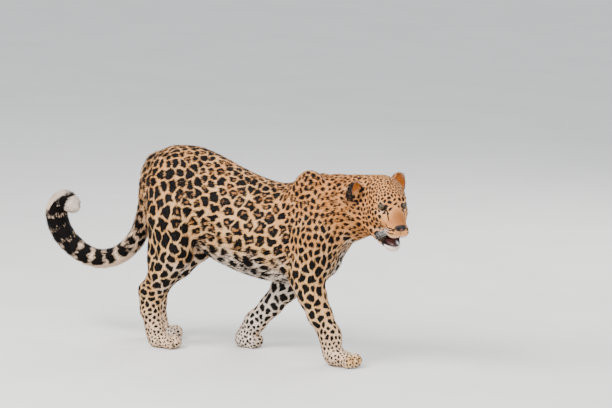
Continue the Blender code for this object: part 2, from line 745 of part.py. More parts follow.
def rest_on_origin(collection):
    """Shift everything so that the origin is under the middle of the part, on the floor."""
    bpy.context.view_layer.update()
    parts = list(collection.objects)
    corners = [part.matrix_world @ Vector(corner) for part in parts for corner in part.bound_box]
    low = [min(corner[axis] for corner in corners) for axis in range(3)]
    high = [max(corner[axis] for corner in corners) for axis in range(3)]
    origin = bpy.data.objects.new("leopard_origin", None)
    bpy.context.scene.collection.objects.link(origin)
    for part in parts:
        part.parent = origin
    origin.location = (-(low[0] + high[0]) / 2, -(low[1] + high[1]) / 2, 0.0)


def make_body(collection, cutters):
    """Trunk, neck, legs and tail in one, up to the cut behind the head."""
    masses = torso_masses() + limb(curve_through(TAIL, TAIL_SPAN_STEPS)) + skull_masses()
    for name in LEGS:
        leg, toes = leg_masses(name)
        masses += leg + toes
    body = flesh_object("torso", masses, BODY_VOXEL, collection)
    point, normal = HEAD_CUT
    boolean(body, half_space("body_end", point, normal, cutters, -GAP / 2), "DIFFERENCE")
    keep_largest(body)
    thin_out(body, BODY_TRIANGLES, keep_paws)
    paint(body, COAT)
    return body


def make_head(collection, cutters):
    """The head, modelled more finely, with its ears, eyes, mouth and tongue."""
    head = flesh_object("head", skull_masses() + limb(NAPE) + limb(THROAT), HEAD_VOXEL, collection)
    point, normal = Vector(HEAD_CUT[0]), Vector(HEAD_CUT[1])
    boolean(head, half_space("head_start", point, -normal, cutters, -GAP / 2), "DIFFERENCE")
    keep_largest(head)
    thin_out(head, HEAD_TRIANGLES, keep_face)
    for label in SIDES.values():
        make_ear(label, head, collection, cutters)
    carve_face(head, collection, cutters)
    keep_largest(head)
    make_tongue(collection, cutters)
    paint(head, COAT)


def build():
    for thing in list(bpy.data.objects):
        bpy.data.objects.remove(thing)
    collection = bpy.data.collections.new("leopard")
    cutters = bpy.data.collections.new("leopard_cutters")
    bpy.context.scene.collection.children.link(collection)
    bpy.context.scene.collection.children.link(cutters)
    body = make_body(collection, cutters)
    make_head(collection, cutters)
    part_legs(body, collection, cutters)
    part_tail(body, collection, cutters)
    neck = cut_by_plane(body, "neck", *NECK_CUT, collection, cutters)
    paint(neck, COAT)
    for thing in collection.objects:
        if not thing.name.startswith("eye"):
            thing.data.shade_smooth()
            thing.data.set_sharp_from_angle(angle=math.radians(SHARP_ANGLE))
    rest_on_origin(collection)


build()
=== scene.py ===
"""Looks of a life-size walking leopard: one skin with its markings, a coat of short tufts, eyes and whiskers.

The skin repeats the named masses of the solids, so it follows them closely, and lies inside them by the
depth of the coat. Markings are marks placed on the skin by seeded scatter, read by skin and coat alike.
"""
import json
import math

import bmesh
import bpy
import numpy as np
from mathutils import Euler, Matrix, Vector, kdtree

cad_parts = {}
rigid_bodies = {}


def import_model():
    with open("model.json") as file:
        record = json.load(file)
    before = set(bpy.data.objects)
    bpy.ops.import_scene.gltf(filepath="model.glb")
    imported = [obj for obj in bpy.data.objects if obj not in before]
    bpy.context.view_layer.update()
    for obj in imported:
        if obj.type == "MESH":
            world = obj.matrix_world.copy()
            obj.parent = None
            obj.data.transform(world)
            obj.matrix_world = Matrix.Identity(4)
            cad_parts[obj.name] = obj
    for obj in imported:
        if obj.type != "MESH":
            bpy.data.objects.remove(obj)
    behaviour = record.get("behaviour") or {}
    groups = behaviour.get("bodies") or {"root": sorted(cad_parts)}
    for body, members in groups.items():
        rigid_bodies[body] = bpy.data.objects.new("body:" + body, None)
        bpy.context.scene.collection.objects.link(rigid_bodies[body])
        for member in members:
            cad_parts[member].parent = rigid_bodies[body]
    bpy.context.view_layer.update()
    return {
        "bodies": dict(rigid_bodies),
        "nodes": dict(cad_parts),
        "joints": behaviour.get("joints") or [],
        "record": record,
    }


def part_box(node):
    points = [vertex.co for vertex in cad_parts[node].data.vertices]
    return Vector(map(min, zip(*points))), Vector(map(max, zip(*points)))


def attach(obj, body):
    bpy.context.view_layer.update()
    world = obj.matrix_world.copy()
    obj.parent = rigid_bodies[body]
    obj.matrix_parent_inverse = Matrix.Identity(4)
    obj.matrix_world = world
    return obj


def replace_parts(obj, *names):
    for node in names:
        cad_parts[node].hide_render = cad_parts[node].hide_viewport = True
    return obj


# How finely the skin is modelled, in metres
BODY_STEP = 0.0044
HEAD_STEP = 0.0024
COARSE_STRIDE = 4
FIT_STEPS = 3
PROBE, LEAST_SLOPE, LARGEST_MOVE = 0.0004, 0.2, 0.01
COARSE_BAND = 1.4
CUT_SNAP = 1e-5
TINY = 1e-9
BODY_BOX = ((-0.76, -0.2, -0.012), (0.53, 0.2, 0.7))
HEAD_BOX = ((0.38, -0.26, 0.32), (0.7, 0.12, 0.72))
SEAM_GAP = 0.002
NECK_FLOOR = 0.25

# How softly the masses flow into each other
TORSO_BLEND = 0.045
LIMB_BLEND = 0.016
ROOT_BLEND = 0.04
TOE_BLEND = 0.007
FACE_BLEND = 0.012
LID_BLEND = 0.004
EAR_BLEND = 0.006
CARVE_BLEND = 0.0022
FAR = 1.0
REACH_MARGIN = 0.07
HEAD_REACH = 0.3
EVERYWHERE = 2.0

# Trunk, from rump to chest: x, height of the back, height of the belly, half width
TRUNK = (
    (-0.334, 0.598, 0.45, 0.058),
    (-0.292, 0.65, 0.41, 0.084),
    (-0.24, 0.666, 0.38, 0.098),
    (-0.18, 0.667, 0.345, 0.102),
    (-0.11, 0.647, 0.3, 0.108),
    (-0.03, 0.613, 0.27, 0.117),
    (0.06, 0.582, 0.249, 0.122),
    (0.13, 0.572, 0.243, 0.12),
    (0.2, 0.586, 0.244, 0.112),
    (0.26, 0.6, 0.256, 0.1),
    (0.3, 0.595, 0.3, 0.084),
)
TRUNK_CAP = 0.036
TRUNK_EGG = 0.16
# Rounded masses of the trunk: centre, radii and turn in degrees
TRUNK_MASSES = (
    ((-0.282, 0.0, 0.545), (0.064, 0.082, 0.098), (0.0, 0.0, 0.0)),
    ((0.268, 0.0, 0.345), (0.058, 0.072, 0.085), (0.0, 0.0, 0.0)),
    ((0.24, -0.062, 0.512), (0.072, 0.046, 0.126), (8.0, 14.0, 0.0)),
    ((0.225, 0.066, 0.484), (0.072, 0.046, 0.12), (-8.0, 8.0, 0.0)),
    ((-0.24, -0.052, 0.53), (0.094, 0.058, 0.118), (0.0, 12.0, 0.0)),
    ((-0.24, 0.052, 0.53), (0.094, 0.058, 0.118), (0.0, 12.0, 0.0)),
)

# Neck: its upper and its lower line from the chest to the skull, with radii
NAPE = (
    (0.27, 0.0, 0.505, 0.092),
    (0.35, -0.008, 0.523, 0.082),
    (0.42, -0.014, 0.543, 0.068),
    (0.478, -0.024, 0.552, 0.056),
)
THROAT = (
    (0.27, 0.0, 0.455, 0.1),
    (0.35, -0.008, 0.485, 0.084),
    (0.42, -0.014, 0.502, 0.067),
    (0.478, -0.024, 0.509, 0.058),
)
HEAD_CUT = ((0.4, -0.018, 0.522), (0.96, -0.26, 0.1))

# Legs: each joint's place and radius, from the shoulder or hip down
LEGS = {
    "foreleg_right": (
        (0.285, -0.072, 0.415, 0.078),
        (0.258, -0.086, 0.28, 0.057),
        (0.279, -0.091, 0.222, 0.046),
        (0.307, -0.091, 0.163, 0.04),
        (0.345, -0.089, 0.096, 0.036),
        (0.352, -0.088, 0.05, 0.035),
    ),
    "foreleg_left": (
        (0.272, 0.072, 0.415, 0.078),
        (0.14, 0.084, 0.268, 0.056),
        (0.106, 0.082, 0.208, 0.045),
        (0.058, 0.078, 0.146, 0.036),
        (0.002, 0.074, 0.086, 0.035),
        (-0.03, 0.073, 0.036, 0.034),
    ),
    "hindleg_right": (
        (-0.246, -0.066, 0.44, 0.084),
        (-0.222, -0.086, 0.325, 0.06),
        (-0.262, -0.084, 0.255, 0.049),
        (-0.3, -0.08, 0.188, 0.04),
        (-0.308, -0.078, 0.12, 0.033),
        (-0.292, -0.078, 0.052, 0.034),
    ),
    "hindleg_left": (
        (-0.252, 0.066, 0.44, 0.084),
        (-0.225, 0.088, 0.325, 0.059),
        (-0.29, 0.086, 0.252, 0.048),
        (-0.352, 0.082, 0.19, 0.039),
        (-0.368, 0.08, 0.12, 0.033),
        (-0.358, 0.08, 0.052, 0.034),
    ),
}
HOCK_POINTS = {
    "hindleg_right": (-0.326, -0.079, 0.184, 0.029),
    "hindleg_left": (-0.38, 0.081, 0.186, 0.028),
}
HAMSTRINGS = {
    "hindleg_right": ((-0.27, -0.07, 0.43, 0.052), (-0.288, -0.08, 0.29, 0.036)),
    "hindleg_left": ((-0.276, 0.07, 0.43, 0.052), (-0.306, 0.082, 0.285, 0.035)),
}

# Paws: middle of the sole, half length, half width, height, and how many degrees the toes turn outwards
PAWS = {
    "foreleg_right": ((0.388, -0.089), 0.062, 0.045, 0.054, -4.0),
    "foreleg_left": ((-0.027, 0.073), 0.041, 0.044, 0.046, 3.0),
    "hindleg_right": ((-0.262, -0.079), 0.056, 0.04, 0.046, -4.0),
    "hindleg_left": ((-0.334, 0.08), 0.055, 0.04, 0.046, 4.0),
}
TOES = 4
TOE_RADII = (0.024, 0.0125, 0.023)
# Paw's pad and toes, as shares of its half length, half width and height; how the toes turn, in degrees
PAD_PLACE, PAD_RADII = (-0.12, 0.0, 0.44), (0.84, 0.92, 0.56)
TOE_REACH, TOE_CURVE, TOE_SPREAD, TOE_LIFT = 0.7, 0.26, 0.84, 0.86
TOE_PITCH, TOE_FAN = 8.0, 16.0

# Tail: centre line from the rump to the tip, with radii
TAIL = (
    (-0.325, 0.0, 0.595, 0.04),
    (-0.358, 0.004, 0.51, 0.029),
    (-0.378, 0.01, 0.42, 0.026),
    (-0.412, 0.016, 0.338, 0.026),
    (-0.47, 0.02, 0.281, 0.026),
    (-0.557, 0.024, 0.256, 0.027),
    (-0.643, 0.026, 0.287, 0.029),
    (-0.701, 0.026, 0.349, 0.031),
    (-0.712, 0.024, 0.409, 0.03),
    (-0.682, 0.02, 0.443, 0.027),
    (-0.655, 0.018, 0.43, 0.024),
)
TAIL_SPAN_STEPS = 3

# Head: where the point between the eyes is, and how it is turned, in degrees
HEAD_PLACE = (0.56, -0.102, 0.5465)
HEAD_YAW, HEAD_PITCH, HEAD_ROLL = -45.0, 12.0, 2.0
# Skull along its middle: cranium, brow, back, nose bridge, upper jaw, throat, chin; centre, radii, pitch
SKULL_MASSES = (
    ((-0.07, 0.0, 0.006), (0.086, 0.064, 0.064), 0.0),
    ((-0.02, 0.0, 0.014), (0.046, 0.04, 0.034), 0.0),
    ((-0.122, 0.0, -0.015), (0.055, 0.054, 0.062), 0.0),
    ((0.03, 0.0, -0.03), (0.058, 0.028, 0.026), 24.0),
    ((0.04, 0.0, -0.062), (0.044, 0.032, 0.03), 0.0),
    ((-0.035, 0.0, -0.088), (0.05, 0.044, 0.034), 0.0),
    ((0.032, 0.0, -0.13), (0.021, 0.018, 0.016), 0.0),
)
# Skull on each side: cheek, ruff, brow ridge, temple, under the eye, whisker pad; centre, radii, yaw
SKULL_PAIRS = (
    ((-0.05, 0.036, -0.04), (0.056, 0.034, 0.048), 0.0),
    ((-0.09, 0.036, -0.062), (0.048, 0.036, 0.052), 0.0),
    ((-0.012, 0.029, 0.018), (0.024, 0.018, 0.012), 20.0),
    ((-0.026, 0.037, -0.006), (0.028, 0.016, 0.024), 0.0),
    ((0.004, 0.029, -0.038), (0.032, 0.019, 0.03), 0.0),
    ((0.058, 0.0175, -0.067), (0.03, 0.019, 0.021), 0.0),
)
# Bars on each side, along the nose bridge and the lower jaw: two ends with radii
SKULL_BARS = (
    ((-0.006, 0.008, -0.009, 0.026), (0.07, 0.006, -0.047, 0.016)),
    ((-0.045, 0.033, -0.094, 0.03), (0.026, 0.009, -0.13, 0.0155)),
)
NOSE_CENTRE, NOSE_RADII = (0.078, 0.0, -0.045), (0.015, 0.017, 0.013)
NOSTRIL_CENTRE, NOSTRIL_RADII, NOSTRIL_TURN = (0.0905, 0.0095, -0.0475), (0.007, 0.0034, 0.0028), 35.0
EYE_CENTRE = (-0.004, 0.035, -0.001)
EYE_RADIUS = 0.0145
EYE_OUTWARD, EYE_SLANT = 20.0, 18.0
LID_THICKNESS = 0.0034
LID_OPENING = (0.012, 0.0122, 0.0066)
MOUTH_CENTRE, MOUTH_HALVES, MOUTH_RISE = (0.09, 0.0, -0.1025), (0.1, 0.016), 6.0
EAR_BASE = {"right": (-0.098, -0.096, 0.01), "left": (-0.112, 0.06, 0.023)}
EAR_LEAN = {"right": (28.0, -4.0, 50.0), "left": (-26.0, -8.0, 34.0)}
EAR_RADII = (0.025, 0.037, 0.043)
EAR_HOLLOW, EAR_WALLS = (0.014, 0.0, 0.002), (-0.001, 0.005, 0.005)

# Coat of the trunk, mirrored in y: x, y, z; spot spacing, share of open rosettes,
# upward stretch, fur length and how much of the way to its neighbour each spot fills
TRUNK_COAT = (
    (-0.31, 0.04, 0.62, 0.024, 0.0, 1.2, 0.011, 0.455),
    (-0.19, 0.04, 0.65, 0.025, 0.2, 1.1, 0.011, 0.455),
    (-0.05, 0.05, 0.61, 0.026, 0.5, 1.0, 0.011, 0.455),
    (0.12, 0.05, 0.565, 0.025, 0.4, 1.0, 0.011, 0.455),
    (0.24, 0.06, 0.59, 0.019, 0.0, 1.2, 0.011, 0.41),
    (-0.27, 0.11, 0.56, 0.031, 0.0, 1.2, 0.011, 0.455),
    (-0.26, 0.12, 0.42, 0.034, 0.0, 1.4, 0.011, 0.455),
    (-0.14, 0.11, 0.54, 0.03, 0.4, 1.1, 0.011, 0.455),
    (0.02, 0.12, 0.48, 0.038, 1.0, 1.0, 0.011, 0.435),
    (0.05, 0.12, 0.42, 0.044, 1.0, 1.0, 0.011, 0.435),
    (0.13, 0.12, 0.52, 0.032, 0.8, 1.0, 0.011, 0.435),
    (0.16, 0.12, 0.4, 0.04, 0.9, 1.0, 0.011, 0.435),
    (-0.12, 0.11, 0.42, 0.034, 0.5, 1.1, 0.012, 0.435),
    (0.02, 0.11, 0.33, 0.044, 0.3, 0.9, 0.013, 0.435),
    (0.14, 0.11, 0.32, 0.04, 0.3, 0.8, 0.013, 0.435),
    (0.24, 0.11, 0.5, 0.0165, 0.0, 1.5, 0.011, 0.41),
    (0.26, 0.11, 0.4, 0.019, 0.0, 1.5, 0.011, 0.41),
    (-0.12, 0.04, 0.3, 0.046, 0.0, 1.2, 0.014, 0.435),
    (0.05, 0.04, 0.25, 0.046, 0.0, 1.2, 0.014, 0.435),
    (0.2, 0.04, 0.25, 0.036, 0.0, 1.2, 0.013, 0.435),
    (0.33, 0.03, 0.36, 0.032, 0.0, 0.9, 0.0115, 0.435),
    (0.35, 0.03, 0.6, 0.017, 0.0, 1.3, 0.011, 0.39),
    (0.37, 0.09, 0.52, 0.0165, 0.0, 1.5, 0.012, 0.39),
    (0.38, 0.03, 0.42, 0.024, 0.0, 1.0, 0.0115, 0.41),
)
# Coat of the head, in its own frame and mirrored in y, with the same columns
HEAD_COAT = (
    (-0.03, 0.02, 0.055, 0.0092, 0.0, 1.3, 0.006, 0.4),
    (-0.09, 0.03, 0.06, 0.014, 0.0, 1.3, 0.009, 0.4),
    (-0.14, 0.05, 0.01, 0.018, 0.0, 1.3, 0.011, 0.4),
    (-0.04, 0.06, -0.03, 0.013, 0.0, 1.2, 0.0075, 0.4),
    (-0.09, 0.07, -0.08, 0.018, 0.0, 1.3, 0.012, 0.37),
    (-0.02, 0.06, -0.08, 0.016, 0.0, 1.3, 0.009, 0.37),
    (0.03, 0.0, -0.01, 0.018, 0.0, 1.0, 0.004, 0.37),
    (0.06, 0.03, -0.065, 0.018, 0.0, 1.0, 0.004, 0.37),
    (-0.03, 0.02, -0.13, 0.023, 0.0, 1.2, 0.011, 0.37),
    (0.03, 0.01, -0.145, 0.025, 0.0, 1.0, 0.0055, 0.37),
)
# Coat at each joint of the legs, from the top down, with the same values
LEG_COAT = {
    "foreleg": (
        (0.022, 0.0, 1.5, 0.011, 0.41),
        (0.027, 0.0, 1.3, 0.011, 0.42),
        (0.028, 0.0, 1.3, 0.009, 0.41),
        (0.025, 0.0, 1.3, 0.008, 0.4),
        (0.017, 0.0, 1.3, 0.007, 0.38),
        (0.012, 0.0, 1.0, 0.006, 0.36),
    ),
    "hindleg": (
        (0.035, 0.0, 1.4, 0.011, 0.44),
        (0.034, 0.0, 1.3, 0.011, 0.44),
        (0.032, 0.0, 1.0, 0.01, 0.44),
        (0.028, 0.0, 0.7, 0.009, 0.43),
        (0.017, 0.0, 1.1, 0.007, 0.38),
        (0.013, 0.0, 1.1, 0.006, 0.36),
    ),
}
PAW_COAT = (0.012, 0.0, 1.0, 0.006, 0.35)
TAIL_COAT = (0.035, 0.0, 1.0, 0.013, 0.45)
COAT_REACH = 0.022
COAT_DEPTH_SHARE = 0.3
PLAN_ROWS = 20000
# Lie of the fur on the trunk, legs and paws; on the head it runs back from the nose
TRUNK_FLOW, LEG_FLOW, PAW_FLOW = (-1.0, 0.0, -0.22), (0.02, 0.0, 0.0), (1.0, 0.0, -0.5)
NOSE_TIP = (0.1, 0.0, -0.046)
HEAD_FLOW_BAND = 0.03
FLOW_REACH = 0.01
WAVE_COUNT, WAVE_SPREAD = 5, (0.7, 1.4)

# Spots: how close they may come, their edges' softness, and the open ones' outer and inner size
SPOT_CROWDING = 0.8
SPOT_TRIALS = 70000
NEIGHBOURS = 6
EDGE_SOFTNESS = 0.035
OPEN_SHARE, HOLLOW_SHARE = 0.435, 0.16
SIZE_SPREAD, SIZE_LIMIT = 0.022, 1.5
LOBES, LOBE_OUT, LOBE_IN = (3, 6), 0.012, 0.02
GAP_FROM, GAP_STRENGTH = 0.95, 0.6
# Waves that make the spots' edges uneven: wave length, share of the spacing, and most
WARPS = ((0.011, 0.06, 0.0007), (0.034, 0.12, 0.005))

# Shades of trunk and legs: ranges of height, place and facing in which each one comes in, and strengths
SHADE_WAVE, SHADE_NOISE = 0.05, 0.12
BELLY_FACING, BELLY_HEIGHT = (0.15, 0.7), (-0.42, -0.3)
INNER_FACING, INNER_HEIGHT = (0.1, 0.75), (-0.36, -0.24)
FOOT_HEIGHT, FOOT_PALE, LEG_PALE = (-0.2, -0.04), 0.45, 0.6
CHEST_TILT, CHEST_FACING, CHEST_HEIGHT = 0.6, (0.7, 1.1), (-0.46, -0.36)
THROAT_FACING, THROAT_PALE = (0.35, 0.85), 0.5
FORE_PLACE, FORE_HEIGHT, WARM_HEIGHT = (0.0, 0.34), (0.22, 0.44), (0.3, 0.62)
# Orange everywhere, with height, in the fore part, and its unevenness
WARMTH = (0.1, 0.3, 0.35, 0.06)

# Tail's bands, counted in metres from the tail's root, and its tip, counted back from the end
TAIL_CURL_MIDDLE = (-0.6, 0.024, 0.37)
BAND_START, BAND_SPACING, BAND_SHARE, BAND_EDGE = 0.31, 0.052, 0.76, 0.03
BAND_WAVE, BAND_WOBBLE, BAND_FRONT, BAND_SIDE = 0.03, 0.006, (0.0, 0.05), (-0.8, -0.6)
DARK_PLACE, DARK_SHARE, DARK_WRAP = (0.42, 0.56), 0.95, 0.25
TIP_PLACE, TIP_PALE, END_PLACE = (-0.014, -0.004), 0.4, (-0.1, 0.0)
OUTER_PLACE, OUTER_SIDE = (-0.095, -0.065), (0.45, 0.7)
TAIL_PALE_PLACE, TAIL_WARMTH = (0.08, 0.34), 0.4

# Tufts: how many, how wide for their length, and how far they stand up, in degrees
SHORT_TUFTS, SHORT_PER_PIECE, SHORT_CROWDING = 250000, 48000, 1.6
LONG_TUFTS, LONG_PER_PIECE, LONG_FROM = 26000, 16000, (0.0112, 0.0132)
LENGTH_SPREAD = (0.75, 1.25)
TUFT_WIDTH_SHARE, WIDTH_SPREAD = 0.17, (0.8, 1.3)
TUFT_RISE, TUFT_RISE_SPREAD = 13.0, 5.0
LONG_STRETCH, LONG_RISE = 1.5, 4.0
TUFT_THICKNESS, TUFT_LEAN, TUFT_ARCH, TIP_SINK = 0.5, 0.1, 0.06, 0.03
ROOT_DEPTH = 0.0006
# Rings of corners along a tuft: place and breadth
SHORT_RINGS = ((0.0, 1.0),)
LONG_RINGS = ((0.0, 1.0), (0.5, 0.8))
FLOW_SWAY, SWAY_WAVE = 0.1, 0.045
MARK_PLACES = (0.15, 0.85)
SOFT_SPREAD = 0.25
BARE_LIMIT = 0.4
PATCH = 0.0015
SEED = 7

# Face, in the head's frame with y counted outwards: hairless parts, plain, dark and white patches, stripes;
# patches have a centre, radii, a strength where it isn't 1, and a softness where it isn't the usual one
BALL_EDGE = 0.15
NOSE_PAD = ((0.09, 0.0, -0.046), (0.02, 0.024, 0.0115))
PHILTRUM = ((0.096, 0.0, -0.06), (0.02, 0.0016, 0.014))
NOSE_BLUSH = ((0.098, 0.0, -0.05), (0.01, 0.006, 0.0045))
LIP_WIDTH, RIM_WIDTH = 0.0052, 0.0054
HEAD_WARMTH = 0.66
HEAD_SHADE_BAND = (-0.01, 0.03)
NOSE_BRIDGE = ((0.054, 0.0, -0.032), (0.048, 0.026, 0.03), 1.0, 0.7)
PLAIN_PATCHES = (
    ((0.05, 0.0, -0.026), (0.06, 0.023, 0.034)),
    ((0.068, 0.022, -0.062), (0.042, 0.028, 0.024)),
    ((0.036, 0.03, -0.04), (0.028, 0.02, 0.019)),
    ((0.038, 0.0, -0.134), (0.034, 0.03, 0.026)),
    ((-0.004, 0.04, -0.001), (0.019, 0.022, 0.011)),
)
FACE_STRIPES = (
    (((0.008, 0.025, -0.006), (0.026, 0.02, -0.016), (0.046, 0.02, -0.034)), 0.0028),
    (((-0.002, 0.046, 0.004), (-0.016, 0.054, 0.006), (-0.03, 0.06, 0.002)), 0.002),
    (((-0.002, 0.05, -0.012), (-0.02, 0.06, -0.022), (-0.042, 0.066, -0.028)), 0.001),
)
LIP_CORNER = ((0.002, 0.036, -0.103), (0.026, 0.024, 0.015))
WHITE_PATCHES = (
    ((0.0, 0.038, 0.014), (0.014, 0.012, 0.005), 0.2),
    ((0.004, 0.042, -0.016), (0.017, 0.014, 0.006), 0.25),
    ((0.066, 0.02, -0.078), (0.044, 0.028, 0.006), 0.35),
    ((0.01, 0.034, -0.088), (0.05, 0.04, 0.011), 0.12),
    ((0.03, 0.0, -0.134), (0.046, 0.036, 0.025), 1.0),
    ((-0.04, 0.0, -0.125), (0.05, 0.04, 0.022), 0.6),
)
STRIPE_POINTS, STRIPE_DEPTH, STRIPE_EDGE = 9, 0.0012, 0.0008

# Ears: ranges of place, reach and facing in which the back, the rim, the spot, the cup and the painted shade
# come in
# Painted shade: black painted on the outer wall of each ear's cup, strong on the right ear and faint on the
# left
EAR_PAINTED_SHADE = {"right": 0.9, "left": 0.1}
EAR_FOOT, EAR_REACH, EAR_BEHIND = (-0.012, 0.004), (-1.25, -1.1), (-0.1, 0.3)
EAR_SPOT_HEIGHT, EAR_SPOT, EAR_SPOT_TONE, EAR_SPOT_PALE = 0.02, (-0.015, -0.01), 0.6, 0.5
EAR_EDGE, EAR_LIT, EAR_OUTER, EAR_PAINTED_SHADE_ACROSS = (0.9, 0.97), (0.35, 0.7), (-0.004, 0.008), (0.45, 0.75)
EAR_INSIDE, EAR_WITHIN = (-0.6, -0.2), (-1.02, -0.94)
# The cup's darker orange-brown is partly its hair and partly painted shade in the hollow
RIM_PALE, CUP_TONE_AND_PAINTED_SHADE = 0.75, 0.6

# Whiskers: rows, the line of the top row, where they stand along it, and the way they point
WHISKER_ROWS, WHISKER_ROW_GAP, WHISKER_ROW_BACK, WHISKER_ROW_WIDTH = 3, 0.0072, 0.003, 0.0022
WHISKER_LINE = ((0.082, 0.02, -0.052), (0.058, 0.034, -0.054), (0.036, 0.04, -0.051))
WHISKER_PLACES = (0.2, 0.55, 0.9)
WHISKER_LENGTH, WHISKER_SPREAD, WHISKER_RADIUS, WHISKER_TAPER = 0.075, (0.75, 1.1), 0.00036, 0.8
WHISKER_WAY, WHISKER_SWEEP, WHISKER_FALL = (-0.9, 0.62, -0.32), -0.3, -0.1
WHISKER_DROOP, WHISKER_STRAY, WHISKER_DEPTH = 0.22, 0.06, 0.002
WHISKER_STEPS, WHISKER_SIDES = 7, 5

# Eyes: segments of the ball, the bulge over the iris, and colours from the pupil outwards
EYE_SEGMENTS = 48
CORNEA_BULGE, CORNEA_EDGE = 0.055, 0.85
RAY_SCALE, RAY_RUN, RAY_GRAIN, RAY_DETAIL, RAY_SHARE = 0.02, 0.1, 900.0, 2.0, 0.35
EYE_STOPS = (
    (0.07, (0.02, 0.02, 0.02)),
    (0.08, (0.22, 0.17, 0.05)),
    (0.15, (0.36, 0.28, 0.09)),
    (0.19, (0.16, 0.12, 0.05)),
    (0.225, (0.1, 0.08, 0.05)),
    (0.3, (0.2, 0.15, 0.12)),
)

# Colours as seen on a screen
TAN, TAN_LIGHT = (0.88, 0.66, 0.42), (0.95, 0.78, 0.56)
ORANGE, ROSETTE = (0.74, 0.41, 0.12), (0.54, 0.3, 0.11)
WHITE, UNDERCOAT, TUFT_SHADE = (0.92, 0.84, 0.77), (0.62, 0.55, 0.5), (0.72, 0.66, 0.6)
BLACK, BLACK_WARM = (0.018, 0.012, 0.01), (0.055, 0.034, 0.026)
# Bare leather, dark on the nose pad, lips and eye rims; inside the mouth the same dark is painted shade
NOSE_DARK_AND_MOUTH_PAINTED_SHADE, NOSE_BROWN_AND_MOUTH_PAINTED_SHADE, NOSE_PINK = (0.06, 0.04, 0.04), (0.13, 0.08, 0.075), (0.42, 0.25, 0.22)
# The tongue's colours are its own reds deepened with painted shade of the mouth's inside
TONGUE_DARK_PAINTED_SHADE, TONGUE_PINK_PAINTED_SHADE = (0.14, 0.05, 0.05), (0.26, 0.11, 0.1)
WHISKER_COLOUR, FLOOR_COLOUR, RAY_COLOUR = (0.95, 0.93, 0.9), (0.86, 0.85, 0.83), (0.3, 0.24, 0.1)

# Surfaces: constant values, then the strength and depth in metres of their bumps
COAT_FINISH = {"Roughness": 0.7, "Sheen Weight": 0.01, "Sheen Roughness": 0.5, "Specular IOR Level": 0.08}
SKIN_FINISH = {"Specular IOR Level": 0.3}
EYE_FINISH = {"Roughness": 0.3, "Coat Weight": 0.12, "Coat Roughness": 0.03}
TONGUE_FINISH = {"Roughness": 0.35, "Coat Weight": 0.3}
WHISKER_ROUGHNESS, FLOOR_ROUGHNESS = 0.4, 0.9
COAT_BUMP, SKIN_BUMP, TONGUE_BUMP = (0.25, 0.0004), (0.35, 0.0006), (0.5, 0.0006)
# From haired to bare, and the skin's roughness from the one to the other
SKIN_ROUGHNESS = (0.4, 0.9, 0.75, 0.5)
# Grain of the noises, the part of their range that shows, and how strongly they do
NOISE_DETAIL, GRAIN, TIGHT_GRAIN = 3.0, (0.3, 0.7), (0.35, 0.65)
BROAD_GRAIN, FINE_GRAIN, LEATHER_GRAIN, PORE_GRAIN = 28.0, 520.0, 90.0, 650.0
TONGUE_GRAIN, TASTE_GRAIN, MOTTLE_GRAIN = 120.0, 700.0, 3.0
ROSETTE_SHARE, RAGGED, ROOT_SHADE, LOCK_SHADE, MOTTLE = 0.85, 0.12, 0.35, 0.3, 0.94

# Studio: lamps with place, size and power, the sky and the floor
LIGHTS = (
    ("key", (-1.6, -2.6, 3.4), 2.6, 370.0),
    ("fill", (2.8, -2.2, 1.6), 3.0, 105.0),
    ("back", (0.5, 3.0, 2.6), 2.4, 110.0),
)
LIGHT_AIM = (0.0, 0.0, 0.35)
SKY, SKY_STRENGTH = (0.95, 0.97, 1.0), 1.25
FLOOR_SIZE, FLOOR_DROP = 30.0, -0.0005
UNWRAP_ANGLE, UNWRAP_MARGIN = 66.0, 0.002

# Camera: from the animal's front right, with a long lens
VIEW_AZIMUTH, VIEW_ELEVATION, VIEW_ROLL = 24.0, 9.0, 1.2
METRES_PER_PIXEL = 0.0033
GROUND_PIXEL = (245.0, 350.5)
PICTURE = (612, 408)
CAMERA_DISTANCE = 18.0
SENSOR = 36.0
CLIP_END = 100.0

WORLD = Matrix.Identity(4)


def turned(*degrees):
    """A rotation by Euler degrees."""
    return Euler([math.radians(angle) for angle in degrees]).to_matrix().to_4x4()


def into(frame, points):
    """World points seen from a frame."""
    return (points - np.array(frame.translation)) @ np.array(frame.to_3x3())


def out_of(frame, points):
    """Points of a frame placed in the world."""
    return points @ np.array(frame.to_3x3()).T + np.array(frame.translation)


def unit(vectors):
    return vectors / np.maximum(np.linalg.norm(vectors, axis=1, keepdims=True), TINY)


def smooth_step(value, low, high):
    part = np.clip((value - low) / (high - low), 0.0, 1.0)
    return part * part * (3 - 2 * part)


def shell(local, radii):
    """Distance to an ellipsoid from points in its own frame, true near its surface."""
    near = np.linalg.norm(local / radii, axis=1)
    slope = np.linalg.norm(local / radii ** 2, axis=1)
    return near * (near - 1.0) / np.maximum(slope, TINY)


class Ellipsoid:
    """One rounded mass with three radii, turned by Euler degrees."""

    def __init__(self, centre, radii, turn=(0.0, 0.0, 0.0), frame=WORLD):
        self.frame = frame @ Matrix.Translation(centre) @ turned(*turn)
        self.radii = np.array(radii)
        self.middle = np.array(self.frame.translation)
        self.reach = max(radii)

    def distance(self, points):
        return shell(into(self.frame, points), self.radii)


